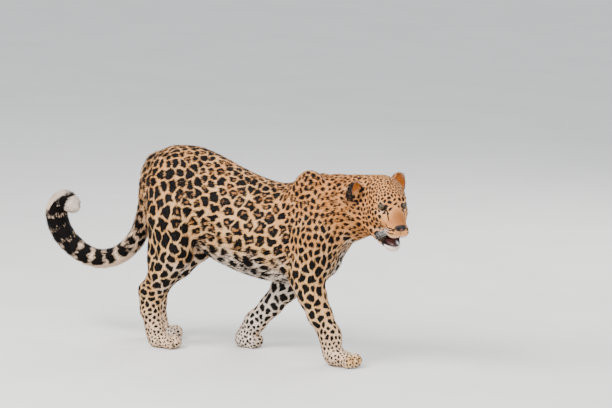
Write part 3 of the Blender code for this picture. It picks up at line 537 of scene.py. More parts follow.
class Taper:
    """A length of limb between two balls."""

    def __init__(self, start, end, frame=WORLD):
        self.a = np.array(frame @ Vector(start[:3]))
        self.b = np.array(frame @ Vector(end[:3]))
        self.ra, self.rb = start[3], end[3]
        self.middle = (self.a + self.b) / 2
        self.reach = np.linalg.norm(self.b - self.a) / 2 + max(self.ra, self.rb)

    def distance(self, points):
        axis = self.b - self.a
        length2 = axis @ axis
        fall = self.ra - self.rb
        slant2 = length2 - fall * fall
        from_a = points - self.a
        along = from_a @ axis
        past = along - length2
        across2 = ((from_a * length2 - np.outer(along, axis)) ** 2).sum(axis=1)
        side = math.copysign(1.0, fall) * fall * fall * across2
        at_end = np.sign(past) * slant2 * past * past * length2 > side
        at_start = np.sign(along) * slant2 * along * along * length2 < side
        wall = (np.sqrt(across2 * slant2 / length2) + along * fall) / length2 - self.ra
        end = np.sqrt(across2 + past * past * length2) / length2 - self.rb
        start = np.sqrt(across2 + along * along * length2) / length2 - self.ra
        return np.where(at_end, end, np.where(at_start, start, wall))


class Trunk:
    """The barrel of the body, lofted through its stations."""

    middle = np.zeros(3)
    reach = EVERYWHERE

    def distance(self, points):
        knots, *columns = np.array(TRUNK).T
        x = np.clip(points[:, 0], knots[0], knots[-1])
        top, bottom, width = (smooth_between(x, knots, column) for column in columns)
        half = (top - bottom) / 2
        lift = (points[:, 2] - (top + bottom) / 2) / half
        width = width * (1 - TRUNK_EGG * np.clip(lift, -1.0, 1.0))
        local = np.stack([points[:, 0] - x, points[:, 1], lift * half], axis=1)
        return shell(local, np.stack([np.full(len(x), TRUNK_CAP), width, half], axis=1))


def smooth_between(x, knots, values):
    """Values read from a smooth curve through the knots."""
    slopes = np.gradient(values, knots)
    span = np.clip(np.searchsorted(knots, x) - 1, 0, len(knots) - 2)
    width = knots[span + 1] - knots[span]
    t = (x - knots[span]) / width
    rise = values[span] * (1 + 2 * t) * (1 - t) ** 2 + values[span + 1] * t * t * (3 - 2 * t)
    return rise + width * (slopes[span] * t * (1 - t) ** 2 - slopes[span + 1] * t * t * (1 - t))


def blend(first, second, softness):
    """Smooth union of two distance fields."""
    overlap = np.maximum(softness - np.abs(first - second), 0.0) / softness
    return np.minimum(first, second) - overlap * overlap * softness / 4


def carve(solid, hollow, softness):
    """Smooth difference of two distance fields."""
    return -blend(-solid, hollow, softness)


def blend_all(masses, points, softness):
    """Smooth union of many masses, each read only near itself."""
    total = np.full(len(points), FAR)
    for mass in masses:
        near = ((points - mass.middle) ** 2).sum(axis=1) < (mass.reach + REACH_MARGIN) ** 2
        if near.any():
            total[near] = blend(total[near], mass.distance(points[near]), softness)
    return total


def limb(joints):
    return [Taper(start, end) for start, end in zip(joints, joints[1:])]


def curve_through(stations, steps):
    """Extra stations on a smooth curve through a limb's own."""
    table = np.array(stations)
    knots = np.concatenate([[0.0], np.cumsum(np.linalg.norm(np.diff(table[:, :3], axis=0), axis=1))])
    spans = [np.linspace(a, b, steps, endpoint=False) for a, b in zip(knots, knots[1:])]
    places = np.concatenate(spans + [knots[-1:]])
    return np.stack([smooth_between(places, knots, column) for column in table.T], axis=1).tolist()


def torso_masses():
    return [Trunk()] + [Ellipsoid(*row) for row in TRUNK_MASSES] + limb(NAPE) + limb(THROAT)


def paw_masses(name):
    """A rounded pad with a row of toes in front."""
    (x, y), length, width, height, turn = PAWS[name]
    frame = Matrix.Translation((x, y, 0.0)) @ Matrix.Rotation(math.radians(turn), 4, "Z")
    place = np.multiply(PAD_PLACE, (length, width, height))
    pad = Ellipsoid(place, np.multiply(PAD_RADII, (length, width, height)), frame=frame)
    toes = []
    for index in range(TOES):
        across = (index - (TOES - 1) / 2) / (TOES / 2)
        reach = length * (TOE_REACH - TOE_CURVE * across * across)
        centre = (reach, across * width * TOE_SPREAD, TOE_RADII[2] * TOE_LIFT)
        toes.append(Ellipsoid(centre, TOE_RADII, (0.0, TOE_PITCH, across * TOE_FAN), frame))
    return pad, toes


def leg_masses(name):
    masses = limb(LEGS[name])
    if name in HOCK_POINTS:
        masses += [Taper(HOCK_POINTS[name], LEGS[name][4]), Taper(*HAMSTRINGS[name])]
    pad, toes = paw_masses(name)
    return masses + [pad], toes


def head_frame():
    return Matrix.Translation(HEAD_PLACE) @ turned(HEAD_ROLL, HEAD_PITCH, HEAD_YAW)


def skull_masses():
    frame = head_frame()
    masses = [Ellipsoid(centre, radii, (0.0, pitch, 0.0), frame) for centre, radii, pitch in SKULL_MASSES]
    for side in (-1, 1):
        for (x, y, z), radii, yaw in SKULL_PAIRS:
            masses.append(Ellipsoid((x, side * y, z), radii, (0.0, 0.0, side * yaw), frame))
        flip = (1.0, side, 1.0, 1.0)
        bars = np.array(SKULL_BARS) * flip
        masses += [Taper(start, end, frame) for start, end in bars]
    return masses


def eye_frame(side):
    """The eye's own frame: x out of the pupil, y towards the animal's left."""
    place = Matrix.Translation((EYE_CENTRE[0], side * EYE_CENTRE[1], EYE_CENTRE[2]))
    look = Matrix.Rotation(math.radians(side * EYE_OUTWARD), 4, "Z")
    slant = Matrix.Rotation(math.radians(side * EYE_SLANT), 4, "X")
    return head_frame() @ place @ look @ slant


def lid_opening(side):
    return Ellipsoid((EYE_RADIUS, 0.0, 0.0), LID_OPENING, frame=eye_frame(side))


def ear_frame(label):
    return head_frame() @ Matrix.Translation(EAR_BASE[label]) @ turned(*EAR_LEAN[label])


def ear_distance(label, points):
    """The ear's cup: an outside with a hollow in its front."""
    frame = ear_frame(label)
    outer = Ellipsoid((0.0, 0.0, 0.0), EAR_RADII, frame=frame)
    hollow = Ellipsoid(EAR_HOLLOW, np.subtract(EAR_RADII, EAR_WALLS), frame=frame)
    return carve(outer.distance(points), hollow.distance(points), CARVE_BLEND)


def mouth_distance(points):
    """A long flat roller whose rear edge is the corner of the mouth."""
    turn = Matrix.Rotation(math.radians(-MOUTH_RISE), 4, "Y")
    frame = head_frame() @ Matrix.Translation(MOUTH_CENTRE) @ turn
    return shell(into(frame, points)[:, (0, 2)], np.array(MOUTH_HALVES))


def head_distance(points):
    total = blend_all(skull_masses(), points, FACE_BLEND)
    for side in (-1, 1):
        lid = Ellipsoid((0.0, 0.0, 0.0), (EYE_RADIUS + LID_THICKNESS,) * 3, frame=eye_frame(side))
        total = blend(total, lid.distance(points), LID_BLEND)
    nose = Ellipsoid(NOSE_CENTRE, NOSE_RADII, frame=head_frame())
    total = blend(total, nose.distance(points), FACE_BLEND / 2)
    for label in EAR_BASE:
        total = blend(total, ear_distance(label, points), EAR_BLEND)
    return total


def carve_face(total, points):
    """The mouth, the openings of the lids and the nostrils, hollowed out of the head."""
    total = carve(total, mouth_distance(points), CARVE_BLEND * 2)
    x, y, z = NOSTRIL_CENTRE
    for side in (-1, 1):
        total = carve(total, lid_opening(side).distance(points), CARVE_BLEND)
        nostril = Ellipsoid((x, side * y, z), NOSTRIL_RADII, (0.0, 0.0, side * NOSTRIL_TURN), head_frame())
        total = carve(total, nostril.distance(points), CARVE_BLEND / 2)
    return total


def near_mask(points):
    return ((points - np.array(HEAD_PLACE)) ** 2).sum(axis=1) < HEAD_REACH ** 2


def body_distance(points):
    """Distance to the whole leopard: the legs blend with the torso but not with each other."""
    near = near_mask(points)
    head = np.full(len(points), FAR)
    head[near] = head_distance(points[near])
    torso = blend_all(torso_masses(), points, TORSO_BLEND)
    tail = blend_all(limb(curve_through(TAIL, TAIL_SPAN_STEPS)), points, LIMB_BLEND)
    torso = blend(blend(torso, tail, ROOT_BLEND), head, ROOT_BLEND)
    total = torso
    for name in LEGS:
        masses, toes = leg_masses(name)
        leg = blend(blend_all(masses, points, LIMB_BLEND), blend_all(toes, points, TOE_BLEND), TOE_BLEND)
        total = np.minimum(total, blend(torso, leg, ROOT_BLEND))
    total[near] = carve_face(total[near], points[near])
    return total


def fit_to_field(points, depth, steps):
    """Move the points onto the body's surface, sunk by the depth, and no lower than the floor."""
    for _ in range(steps):
        level = body_distance(points)
        slope = np.stack([body_distance(points + PROBE * axis) - level for axis in np.eye(3)], axis=1) / PROBE
        steep = np.maximum((slope ** 2).sum(axis=1, keepdims=True), LEAST_SLOPE)
        points = points - np.clip(level + depth, -LARGEST_MOVE, LARGEST_MOVE)[:, None] * slope / steep
    points[:, 2] = np.maximum(points[:, 2], 0.0)
    return points


def grid_points(axes):
    return np.stack(np.meshgrid(*axes, indexing="ij"), axis=-1).reshape(-1, 3)


def surface_net(low, high, step):
    """A closed net of quads through the body's surface inside a box."""
    axes = [np.arange(start, end + step, step) for start, end in zip(low, high)]
    rough_axes = [axis[::COARSE_STRIDE] for axis in axes]
    values = body_distance(grid_points(rough_axes)).reshape([len(axis) for axis in rough_axes])
    for axis in range(3):
        values = np.repeat(values, COARSE_STRIDE, axis=axis)
    values = values[tuple(slice(len(axis)) for axis in axes)]
    near = np.abs(values) < COARSE_STRIDE * step * COARSE_BAND
    values[near] = body_distance(grid_points(axes)[near.ravel()])
    inside = values < 0
    corners = [np.array(corner) for corner in np.ndindex(2, 2, 2)]
    filled = sum(inside[tuple(slice(c, n - 1 + c) for c, n in zip(corner, inside.shape))].astype(int)
                 for corner in corners)
    active = (filled > 0) & (filled < len(corners))
    cells = np.argwhere(active)
    number = np.full(active.shape, -1)
    number[active] = np.arange(len(cells))
    total = np.zeros((len(cells), 3))
    count = np.zeros((len(cells), 1))
    for first in corners:
        for second in corners:
            if (second - first).sum() == 1 and (second - first).min() == 0:
                start = values[tuple((cells + first).T)]
                end = values[tuple((cells + second).T)]
                crossed = ((start < 0) != (end < 0))[:, None]
                part = (start / np.where(start == end, 1.0, start - end))[:, None]
                total += np.where(crossed, first + (second - first) * part, 0.0)
                count += crossed
    return np.array(low) + step * (cells + total / count), net_faces(inside, number)


def net_faces(inside, number):
    """A quad round each grid edge that passes through the surface."""
    faces = []
    steps = np.eye(3, dtype=int)
    for axis in range(3):
        ahead, first, second = (steps[(axis + turn) % 3] for turn in range(3))
        start = inside[tuple(slice(0, n - a) for n, a in zip(inside.shape, ahead))]
        end = inside[tuple(slice(a, n) for n, a in zip(inside.shape, ahead))]
        edges = np.argwhere(start != end)
        edges = edges[((edges >= first + second) & (edges < number.shape)).all(axis=1)]
        ring = [edges, edges - first, edges - first - second, edges - second]
        quad = np.stack([number[tuple(cell.T)] for cell in ring], axis=1)
        faces.append(np.where(start[tuple(edges.T)][:, None], quad, quad[:, ::-1]))
    return np.concatenate(faces)


def mesh_of(shape, name):
    """A mesh made from a bmesh, which is let go."""
    mesh = bpy.data.meshes.new(name)
    shape.to_mesh(mesh)
    shape.free()
    return mesh


def net_half(box, step, point, normal):
    """The body's net inside a box, cut open at the neck; the normal points to the side that goes."""
    net = bpy.data.meshes.new("net")
    points, faces = surface_net(*box, step)
    net.from_pydata(points.tolist(), [], faces.tolist())
    shape = bmesh.new()
    shape.from_mesh(net)
    faces = [face for face in shape.faces if max(vert.co.z for vert in face.verts) > NECK_FLOOR]
    parts = dict.fromkeys(part for face in faces for part in (*face.verts, *face.edges))
    bmesh.ops.bisect_plane(shape, geom=[*parts, *faces], dist=CUT_SNAP, plane_co=point, plane_no=normal,
                           clear_outer=True)
    return mesh_of(shape, "half")


def make_skin():
    """Body and finer head, joined by a band at the neck and sunk by the coat's depth."""
    point, normal = Vector(HEAD_CUT[0]), Vector(HEAD_CUT[1]).normalized()
    shape = bmesh.new()
    shape.from_mesh(net_half(BODY_BOX, BODY_STEP, point - normal * SEAM_GAP / 2, normal))
    shape.from_mesh(net_half(HEAD_BOX, HEAD_STEP, point + normal * SEAM_GAP / 2, -normal))
    bmesh.ops.bridge_loops(shape, edges=[edge for edge in shape.edges if edge.is_boundary])
    bmesh.ops.triangulate(shape, faces=shape.faces)
    bmesh.ops.recalc_face_normals(shape, faces=shape.faces)
    mesh = mesh_of(shape, "skin")
    points = fit_to_field(read_array(mesh.vertices, "co", 3), 0.0, 1)
    depth = coat_plan(points)[:, 3] * COAT_DEPTH_SHARE
    write_array(mesh.vertices, "co", fit_to_field(points, depth, FIT_STEPS))
    mesh.update()
    mesh.shade_smooth()
    return mesh


def read_array(items, key, width, kind=np.float32):
    """One value of every item of a mesh, in rows."""
    values = np.empty(len(items) * width, dtype=kind)
    items.foreach_get(key, values)
    return values.reshape(-1, width).astype(int if kind is np.int32 else float)


def write_array(items, key, values, kind=np.float32):
    items.foreach_set(key, np.asarray(values, dtype=kind).ravel())


def store(mesh, name, kind, values):
    """Values kept at each point of a mesh, for its material or its normals."""
    key = {"FLOAT": "value", "FLOAT_VECTOR": "vector", "FLOAT_COLOR": "color"}[kind]
    write_array(mesh.attributes.new(name, kind, "POINT").data, key, values)


def anchors():
    """Places on the animal with the coat's values there, the trunk's and the head's on both sides."""
    rows = []
    for x, y, z, *values in TRUNK_COAT:
        rows += [(x, side * y, z, *values) for side in (1, -1)]
    for x, y, z, *values in HEAD_COAT:
        rows += [(*(head_frame() @ Vector((x, side * y, z))), *values) for side in (-1, 1)]
    for name, joints in LEGS.items():
        rows += [(*joint[:3], *values) for joint, values in zip(joints, LEG_COAT[name.split("_")[0]])]
        rows.append((*PAWS[name][0], PAWS[name][3] / 2, *PAW_COAT))
    return np.array(rows + [(*station[:3], *TAIL_COAT) for station in TAIL])


def coat_plan(points):
    """The anchors' values mixed at each point, the nearer ones counting more."""
    table = anchors()
    plan = np.empty((len(points), table.shape[1] - 3))
    for part in np.array_split(np.arange(len(points)), len(points) // PLAN_ROWS + 1):
        gap2 = ((points[part, None, :] - table[None, :, :3]) ** 2).sum(axis=2)
        weight = 1.0 / (gap2 + COAT_REACH ** 2) ** 3
        plan[part] = weight @ table[:, 3:] / weight.sum(axis=1, keepdims=True)
    return plan


def flow_pieces():
    """Parts of the animal with the way the fur runs along each: region, mass and direction."""
    pieces = [("torso", Trunk(), TRUNK_FLOW)]
    for line in (NAPE, THROAT):
        pieces += [("neck", mass, mass.a - mass.b) for mass in limb(line)]
    for name, joints in LEGS.items():
        pieces += [(name, mass, mass.b - mass.a - LEG_FLOW) for mass in limb(joints)]
        pad, toes = paw_masses(name)
        pieces += [(name, mass, PAW_FLOW) for mass in [pad] + toes]
    return pieces + [("tail", mass, mass.b - mass.a) for mass in limb(curve_through(TAIL, TAIL_SPAN_STEPS))]


def coat_flow(points, normals):
    """Which region each point is in, and which way its fur lies along the skin."""
    pieces = flow_pieces()
    names = sorted({name for name, _, _ in pieces} | {"head"})
    nearest = np.full((len(names), len(points)), FAR)
    flow = np.zeros_like(points)
    total = np.zeros(len(points))
    for name, mass, direction in pieces:
        distance = mass.distance(points)
        row = nearest[names.index(name)]
        np.minimum(row, distance, out=row)
        weight = np.exp(-np.maximum(distance, 0.0) / FLOW_REACH)
        flow += weight[:, None] * direction / np.linalg.norm(direction)
        total += weight
    flow /= np.maximum(total, TINY)[:, None]
    beyond = (points - np.array(HEAD_CUT[0])) @ np.array(HEAD_CUT[1]) / np.linalg.norm(HEAD_CUT[1])
    away = unit(points - np.array(head_frame() @ Vector(NOSE_TIP)))
    part = smooth_step(beyond, -HEAD_FLOW_BAND, HEAD_FLOW_BAND)[:, None]
    flow = flow * (1 - part) + away * part
    nearest[names.index("head")] = np.where(beyond > 0, -1.0, FAR)
    flow -= (flow * normals).sum(axis=1, keepdims=True) * normals
    return np.array(names)[nearest.argmin(axis=0)], unit(flow)


def waves(points, length, seed):
    """Soft noise between about -1 and 1: a sum of sine waves in random directions, for each axis."""
    draw = np.random.default_rng(seed)
    total = np.zeros_like(points)
    for axis in range(3):
        for _ in range(WAVE_COUNT):
            direction = unit(draw.normal(size=(1, 3)))[0]
            pitch = 2 * math.pi / (length * draw.uniform(*WAVE_SPREAD))
            total[:, axis] += np.sin(points @ direction * pitch + draw.uniform(0, 2 * math.pi))
    return total / math.sqrt(WAVE_COUNT)


class Skin:
    """The skin's points, faces and slowly changing coat values, to be read anywhere on it."""

    def __init__(self, mesh):
        self.points = read_array(mesh.vertices, "co", 3)
        self.faces = read_array(mesh.loops, "vertex_index", 1, np.int32).reshape(-1, 3)
        self.normals = read_array(mesh.vertex_normals, "vector", 3)
        self.unwrap = read_array(mesh.uv_layers["OFBake"].uv, "vector", 2).reshape(-1, 3, 2)
        self.plan = coat_plan(self.points)
        self.region, self.flow = coat_flow(self.points, self.normals)
        self.bare = bare_share(self.points)
        a, b, c = self.points[self.faces].transpose(1, 0, 2)
        self.areas = np.linalg.norm(np.cross(b - a, c - a), axis=1) / 2

    def read_faces(self, values):
        """Mean over each face of values at the vertices."""
        return values[self.faces].mean(axis=1)

    def scatter(self, weights, count, draw):
        """Faces and corner shares of points spread evenly over the faces, more where the weight is high."""
        ends = np.cumsum(weights)
        picks = (np.arange(count) + draw.random(count)) / count * ends[-1]
        faces = np.minimum(np.searchsorted(ends, picks), len(ends) - 1)
        a, b = draw.random(count), draw.random(count)
        over = a + b > 1
        a, b = np.where(over, 1 - a, a), np.where(over, 1 - b, b)
        return faces, np.stack([1 - a - b, a, b], axis=1)

    def read(self, values, faces, shares):
        """Values at the vertices, read at the scattered points."""
        corners = values[self.faces[faces]]
        return (corners * (shares[:, :, None] if corners.ndim == 3 else shares)).sum(axis=1)


def upright_axis(normals):
    """The way up along the skin, which spots are stretched along; short where the skin lies level."""
    return np.array((0.0, 0.0, 1.0)) - normals * normals[:, 2:3]


def shaped_length(gaps, upright, plan):
    """Lengths of the gaps, counted shorter along the direction that spots are stretched in."""
    along = (gaps * upright[:, None, :]).sum(axis=2)
    shrink = 1.0 - 1.0 / plan[:, 2:3] ** 2
    return np.sqrt(np.maximum((gaps ** 2).sum(axis=2) - along ** 2 * shrink, TINY ** 2))


class Spots:
    """Centres of the spots and rosettes, scattered over the skin at the spacing of the coat's plan."""

    def __init__(self, skin):
        draw = np.random.default_rng(SEED)
        faces, shares = skin.scatter(skin.areas / skin.read_faces(skin.plan[:, 0]) ** 2, SPOT_TRIALS, draw)
        points = skin.read(skin.points, faces, shares)
        plan = skin.read(skin.plan, faces, shares)
        upright = upright_axis(unit(skin.read(skin.normals, faces, shares)))
        kept = np.empty((len(points), 3))
        chosen = []
        for index in draw.permutation(len(points)):
            gaps = (kept[:len(chosen)] - points[index])[None]
            lengths = shaped_length(gaps, upright[[index]], plan[[index]])
            if lengths.min(initial=FAR) > plan[index, 0] * SPOT_CROWDING:
                kept[len(chosen)] = points[index]
                chosen.append(index)
        count = len(chosen)
        self.centres = kept[:count].copy()
        self.open = (draw.random(count) < plan[chosen, 1]).astype(float)
        self.lobes = draw.integers(*LOBES, count)
        self.turn = draw.uniform(0, 2 * math.pi, count)
        self.size = draw.normal(0.0, 1.0, count)
        self.tree = kdtree.KDTree(count)
        for index, centre in enumerate(self.centres):
            self.tree.insert(centre, index)
        self.tree.balance()

    def read(self, points, flow, normals, plan):
        """How black each point is, and how far it lies in the darker middle of a rosette."""
        warped = points
        for seed, (wave, share, most) in enumerate(WARPS, 1):
            warped = warped + waves(points, wave, seed) * np.minimum(plan[:, :1] * share, most)
        hits = [self.tree.find_n(point, NEIGHBOURS) for point in warped.tolist()]
        found = np.array([[hit[1] for hit in row] for row in hits])
        gaps = warped[:, None, :] - self.centres[found]
        shaped = shaped_length(gaps, upright_axis(normals), plan)
        order = np.argsort(shaped, axis=1)[:, :2]
        first, second = np.take_along_axis(shaped, order, axis=1).T
        rows = np.arange(len(points))
        nearest = found[rows, order[:, 0]]
        share = first / (first + second)
        gap = gaps[rows, order[:, 0]]
        angle = np.arctan2((gap * np.cross(normals, flow)).sum(axis=1), (gap * flow).sum(axis=1))
        lobe = np.cos(self.lobes[nearest] * angle + self.turn[nearest])
        is_open = self.open[nearest]
        outer = np.where(is_open > 0, OPEN_SHARE, plan[:, 4]) + LOBE_OUT * lobe
        outer = outer + SIZE_SPREAD * self.size[nearest].clip(-SIZE_LIMIT, SIZE_LIMIT)
        solid = smooth_step(outer - share, 0.0, EDGE_SOFTNESS)
        hollow = is_open * smooth_step(HOLLOW_SHARE - LOBE_IN * lobe - share, 0.0, EDGE_SOFTNESS)
        broken = is_open * smooth_step(-lobe, GAP_FROM, 1.0) * GAP_STRENGTH
        mark = solid * (1 - np.maximum(hollow, broken))
        return mark, is_open * solid * (1 - mark)


def folded(points):
    """Points in the head's own frame, with y counted outwards on both sides."""
    local = into(head_frame(), points)
    local[:, 1] = np.abs(local[:, 1])
    return local


def ball(local, centre, radii, strength=1.0, softness=BALL_EDGE):
    """The strength inside a soft-edged ellipsoid of the head's frame, 0 outside."""
    reach = np.linalg.norm((local - np.array(centre)) / np.array(radii), axis=1)
    return strength * smooth_step(-reach, -1.0 - softness, -1.0 + softness)


def balls(local, rows):
    return np.max([ball(local, *row) for row in rows], axis=0)


def stripe(local, line, width):
    """1 within the width of a line of the head's frame, laid onto its surface with more points."""
    line = np.array(line)
    places = np.linspace(0, len(line) - 1, STRIPE_POINTS)
    dense = np.column_stack([np.interp(places, np.arange(len(line)), column) for column in line.T])
    laid = into(head_frame(), fit_to_field(out_of(head_frame(), dense), STRIPE_DEPTH, FIT_STEPS * 3))
    tapers = limb(np.column_stack([laid, np.full(len(laid), width)]))
    nearest = np.min([taper.distance(local) for taper in tapers], axis=0)
    return smooth_step(-nearest, -STRIPE_EDGE, STRIPE_EDGE)


def bare_share(points):
    """1 on hairless skin: the nose pad, the lips, the rims of the eyes and the inside of the mouth, where the
    dark leather is painted shade.
    """
    near = near_mask(points)
    close = points[near]
    edges = [(mouth_distance(close), LIP_WIDTH)]
    edges += [(lid_opening(side).distance(close), RIM_WIDTH) for side in (-1, 1)]
    found = [smooth_step(-distance, -width, -width / 2) for distance, width in edges]
    bare = np.zeros(len(points))
    bare[near] = np.max(found + [balls(folded(close), (NOSE_PAD, PHILTRUM))], axis=0)
    return bare


def ear_shares(points, normals):
    """How far each point is on the back of an ear, on its rim and inside its cup; the back also carries
    painted shade, black on the cup's outer wall.
    """
    back, rim, cup = (np.zeros(len(points)) for _ in range(3))
    for label, outer_side in (("right", -1), ("left", 1)):
        frame = ear_frame(label)
        local = into(frame, points)
        facing = normals @ np.array(frame.to_3x3())[:, 0]
        reach = np.linalg.norm(local / np.array(EAR_RADII), axis=1)
        across = np.linalg.norm(local[:, 1:] / np.array(EAR_RADII[1:]), axis=1)
        on = smooth_step(local[:, 2], *EAR_FOOT) * smooth_step(-reach, *EAR_REACH)
        behind = smooth_step(-facing, *EAR_BEHIND)
        spot = smooth_step(-np.hypot(local[:, 1], local[:, 2] - EAR_SPOT_HEIGHT), *EAR_SPOT)
        lit = smooth_step(across, *EAR_EDGE) * smooth_step(facing, *EAR_LIT)
        front = (1 - behind) * (1 - lit)
        away = (points - np.array(frame.translation)) @ np.array(head_frame().to_3x3())[:, 1]
        outer = smooth_step(away * outer_side, *EAR_OUTER)
        # Painted shade: black laid on the cup's outer wall near its edge, added to the back's black
        painted_shade = EAR_PAINTED_SHADE[label] * outer * smooth_step(across, *EAR_PAINTED_SHADE_ACROSS)
        inside = smooth_step(facing, *EAR_INSIDE) * smooth_step(-across, *EAR_WITHIN) * (1 - behind)
        back = np.maximum(back, on * np.maximum(behind * (1 - spot * EAR_SPOT_TONE), painted_shade * front))
        rim = np.maximum(rim, on * np.maximum(lit, behind * spot * EAR_SPOT_PALE))
        cup = np.maximum(cup, on * np.maximum(front, inside))
    return back, rim, cup


def tail_places(points):
    """How far along the tail each point is, which way it lies from the tail's line, and the tail's length."""
    stations = np.array(curve_through(TAIL, TAIL_SPAN_STEPS))
    steps = np.linalg.norm(np.diff(stations[:, :3], axis=0), axis=1)
    along = np.concatenate([[0.0], np.cumsum(steps)])
    best = np.full(len(points), FAR)
    place = np.zeros(len(points))
    outwards = np.zeros_like(points)
    for index, (start, end) in enumerate(zip(stations, stations[1:])):
        axis = end[:3] - start[:3]
        part = np.clip((points - start[:3]) @ axis / (axis @ axis), 0.0, 1.0)
        gap = points - start[:3] - part[:, None] * axis
        distance = np.linalg.norm(gap, axis=1) - (start[3] + part * (end[3] - start[3]))
        nearer = distance < best
        best = np.where(nearer, distance, best)
        place = np.where(nearer, along[index] + part * steps[index], place)
        outwards = np.where(nearer[:, None], gap, outwards)
    return place, unit(outwards), along[-1]


def markings(points, normals, flow, plan, region, spots):
    """Black marks, darker rosette middles, white and orange parts of the coat at each point."""
    mark, rose = spots.read(points, flow, normals, plan)
    pale, warm = trunk_shades(points, normals, region)
    tail = region == "tail"
    mark[tail], pale[tail], warm[tail] = tail_marks(points[tail], mark[tail])
    near = near_mask(points)
    shades = face_marks(points[near], normals[near], mark[near], pale[near], warm[near])
    mark[near], rose[near], pale[near], warm[near] = shades
    return np.column_stack([mark, rose, np.clip(pale, 0, 1), np.clip(warm, 0, 1)])


def trunk_shades(points, normals, region):
    """White towards the belly and the insides of the legs, warmer orange towards the back and the neck."""
    x, _, z = points.T
    noise = waves(points, SHADE_WAVE, 3)[:, 0]
    uneven = SHADE_NOISE * noise
    pale = smooth_step(uneven - normals[:, 2], *BELLY_FACING) * smooth_step(-z, *BELLY_HEIGHT)
    for name, joints in LEGS.items():
        side = math.copysign(1.0, joints[0][1])
        inner = smooth_step(uneven - side * normals[:, 1], *INNER_FACING) * smooth_step(-z, *INNER_HEIGHT)
        foot = smooth_step(-z, *FOOT_HEIGHT) * FOOT_PALE
        pale = np.where(region == name, np.max([pale * LEG_PALE, inner, foot], axis=0), pale)
    forwards = smooth_step(normals[:, 0] - normals[:, 2] * CHEST_TILT, *CHEST_FACING)
    chest = forwards * smooth_step(-z, *CHEST_HEIGHT)
    throat = smooth_step(-normals[:, 2], *THROAT_FACING) * THROAT_PALE
    pale = np.maximum(pale, np.where(region == "torso", chest, np.where(region == "neck", throat, 0.0)))
    fore = smooth_step(x, *FORE_PLACE) * smooth_step(z, *FORE_HEIGHT)
    least, by_height, by_fore, by_noise = WARMTH
    warm = least + by_height * smooth_step(z, *WARM_HEIGHT) + by_fore * fore + by_noise * noise
    return pale, warm * (1 - pale)


def tail_marks(points, mark):
    """Blotches towards the root, then dark bands on top, with a white underside and tip."""
    place, outwards, length = tail_places(points)
    wobble = waves(points, BAND_WAVE, 4)[:, 0] * BAND_WOBBLE
    phase = np.modf((place + wobble) / BAND_SPACING)[0]
    darker = smooth_step(place, *DARK_PLACE)
    band = smooth_step(BAND_SHARE + (DARK_SHARE - BAND_SHARE) * darker - phase, -BAND_EDGE, BAND_EDGE)
    sides = (unit(np.array(TAIL_CURL_MIDDLE) - points) * outwards).sum(axis=1)
    band = band * smooth_step(phase, *BAND_FRONT) * smooth_step(sides + DARK_WRAP * darker, *BAND_SIDE)
    banded = smooth_step(place, BAND_START - BAND_EDGE, BAND_START + BAND_EDGE)
    tip = smooth_step(place - length, *TIP_PLACE)
    outer = smooth_step(-sides, *OUTER_SIDE) * smooth_step(place - length, *OUTER_PLACE)
    mark = (mark * (1 - banded) + band * banded) * (1 - np.maximum(tip, outer))
    end = smooth_step(place - length, *END_PLACE)
    pale = smooth_step(place, *TAIL_PALE_PLACE) * (1 - TIP_PALE) + end * TIP_PALE
    return mark, pale, TAIL_WARMTH * (1 - pale)


def face_marks(points, normals, mark, pale, warm):
    """The marks that every leopard's face has: tear lines, pale eye patches, whisker rows and ears."""
    local = folded(points)
    head = smooth_step((points - np.array(HEAD_CUT[0])) @ np.array(HEAD_CUT[1]), *HEAD_SHADE_BAND)
    lines = FACE_STRIPES + tuple((whisker_row(row), WHISKER_ROW_WIDTH) for row in range(WHISKER_ROWS))
    drawn = [stripe(local, line, width) for line, width in lines]
    mark = np.max([mark * (1 - balls(local, PLAIN_PATCHES)), ball(local, *LIP_CORNER)] + drawn, axis=0)
    pale = np.maximum(pale, balls(local, WHITE_PATCHES))
    warm = np.where(head > 0, warm * (1 - head) + head * HEAD_WARMTH * (1 - pale), warm)
    bridge = ball(local, *NOSE_BRIDGE)
    back, rim, cup = ear_shares(points, normals)
    # The ears' back black includes painted shade on the cups' outer walls
    mark = np.maximum(mark * (1 - np.maximum(rim, cup)), back)
    pale = np.maximum(pale * (1 - cup), RIM_PALE * rim)
    warm = np.maximum(warm * (1 - rim), cup)
    # In the ears' cups the darker tone is partly the hair's and partly painted shade in the hollow
    return mark, np.maximum(bridge, CUP_TONE_AND_PAINTED_SHADE * cup) * (1 - mark), pale, warm


def whisker_row(row):
    """The line that one row of whiskers grows along, from the nose backwards."""
    line = np.array(WHISKER_LINE)
    line[:, 2] -= row * WHISKER_ROW_GAP
    line[0, 0] -= row * WHISKER_ROW_BACK
    return line


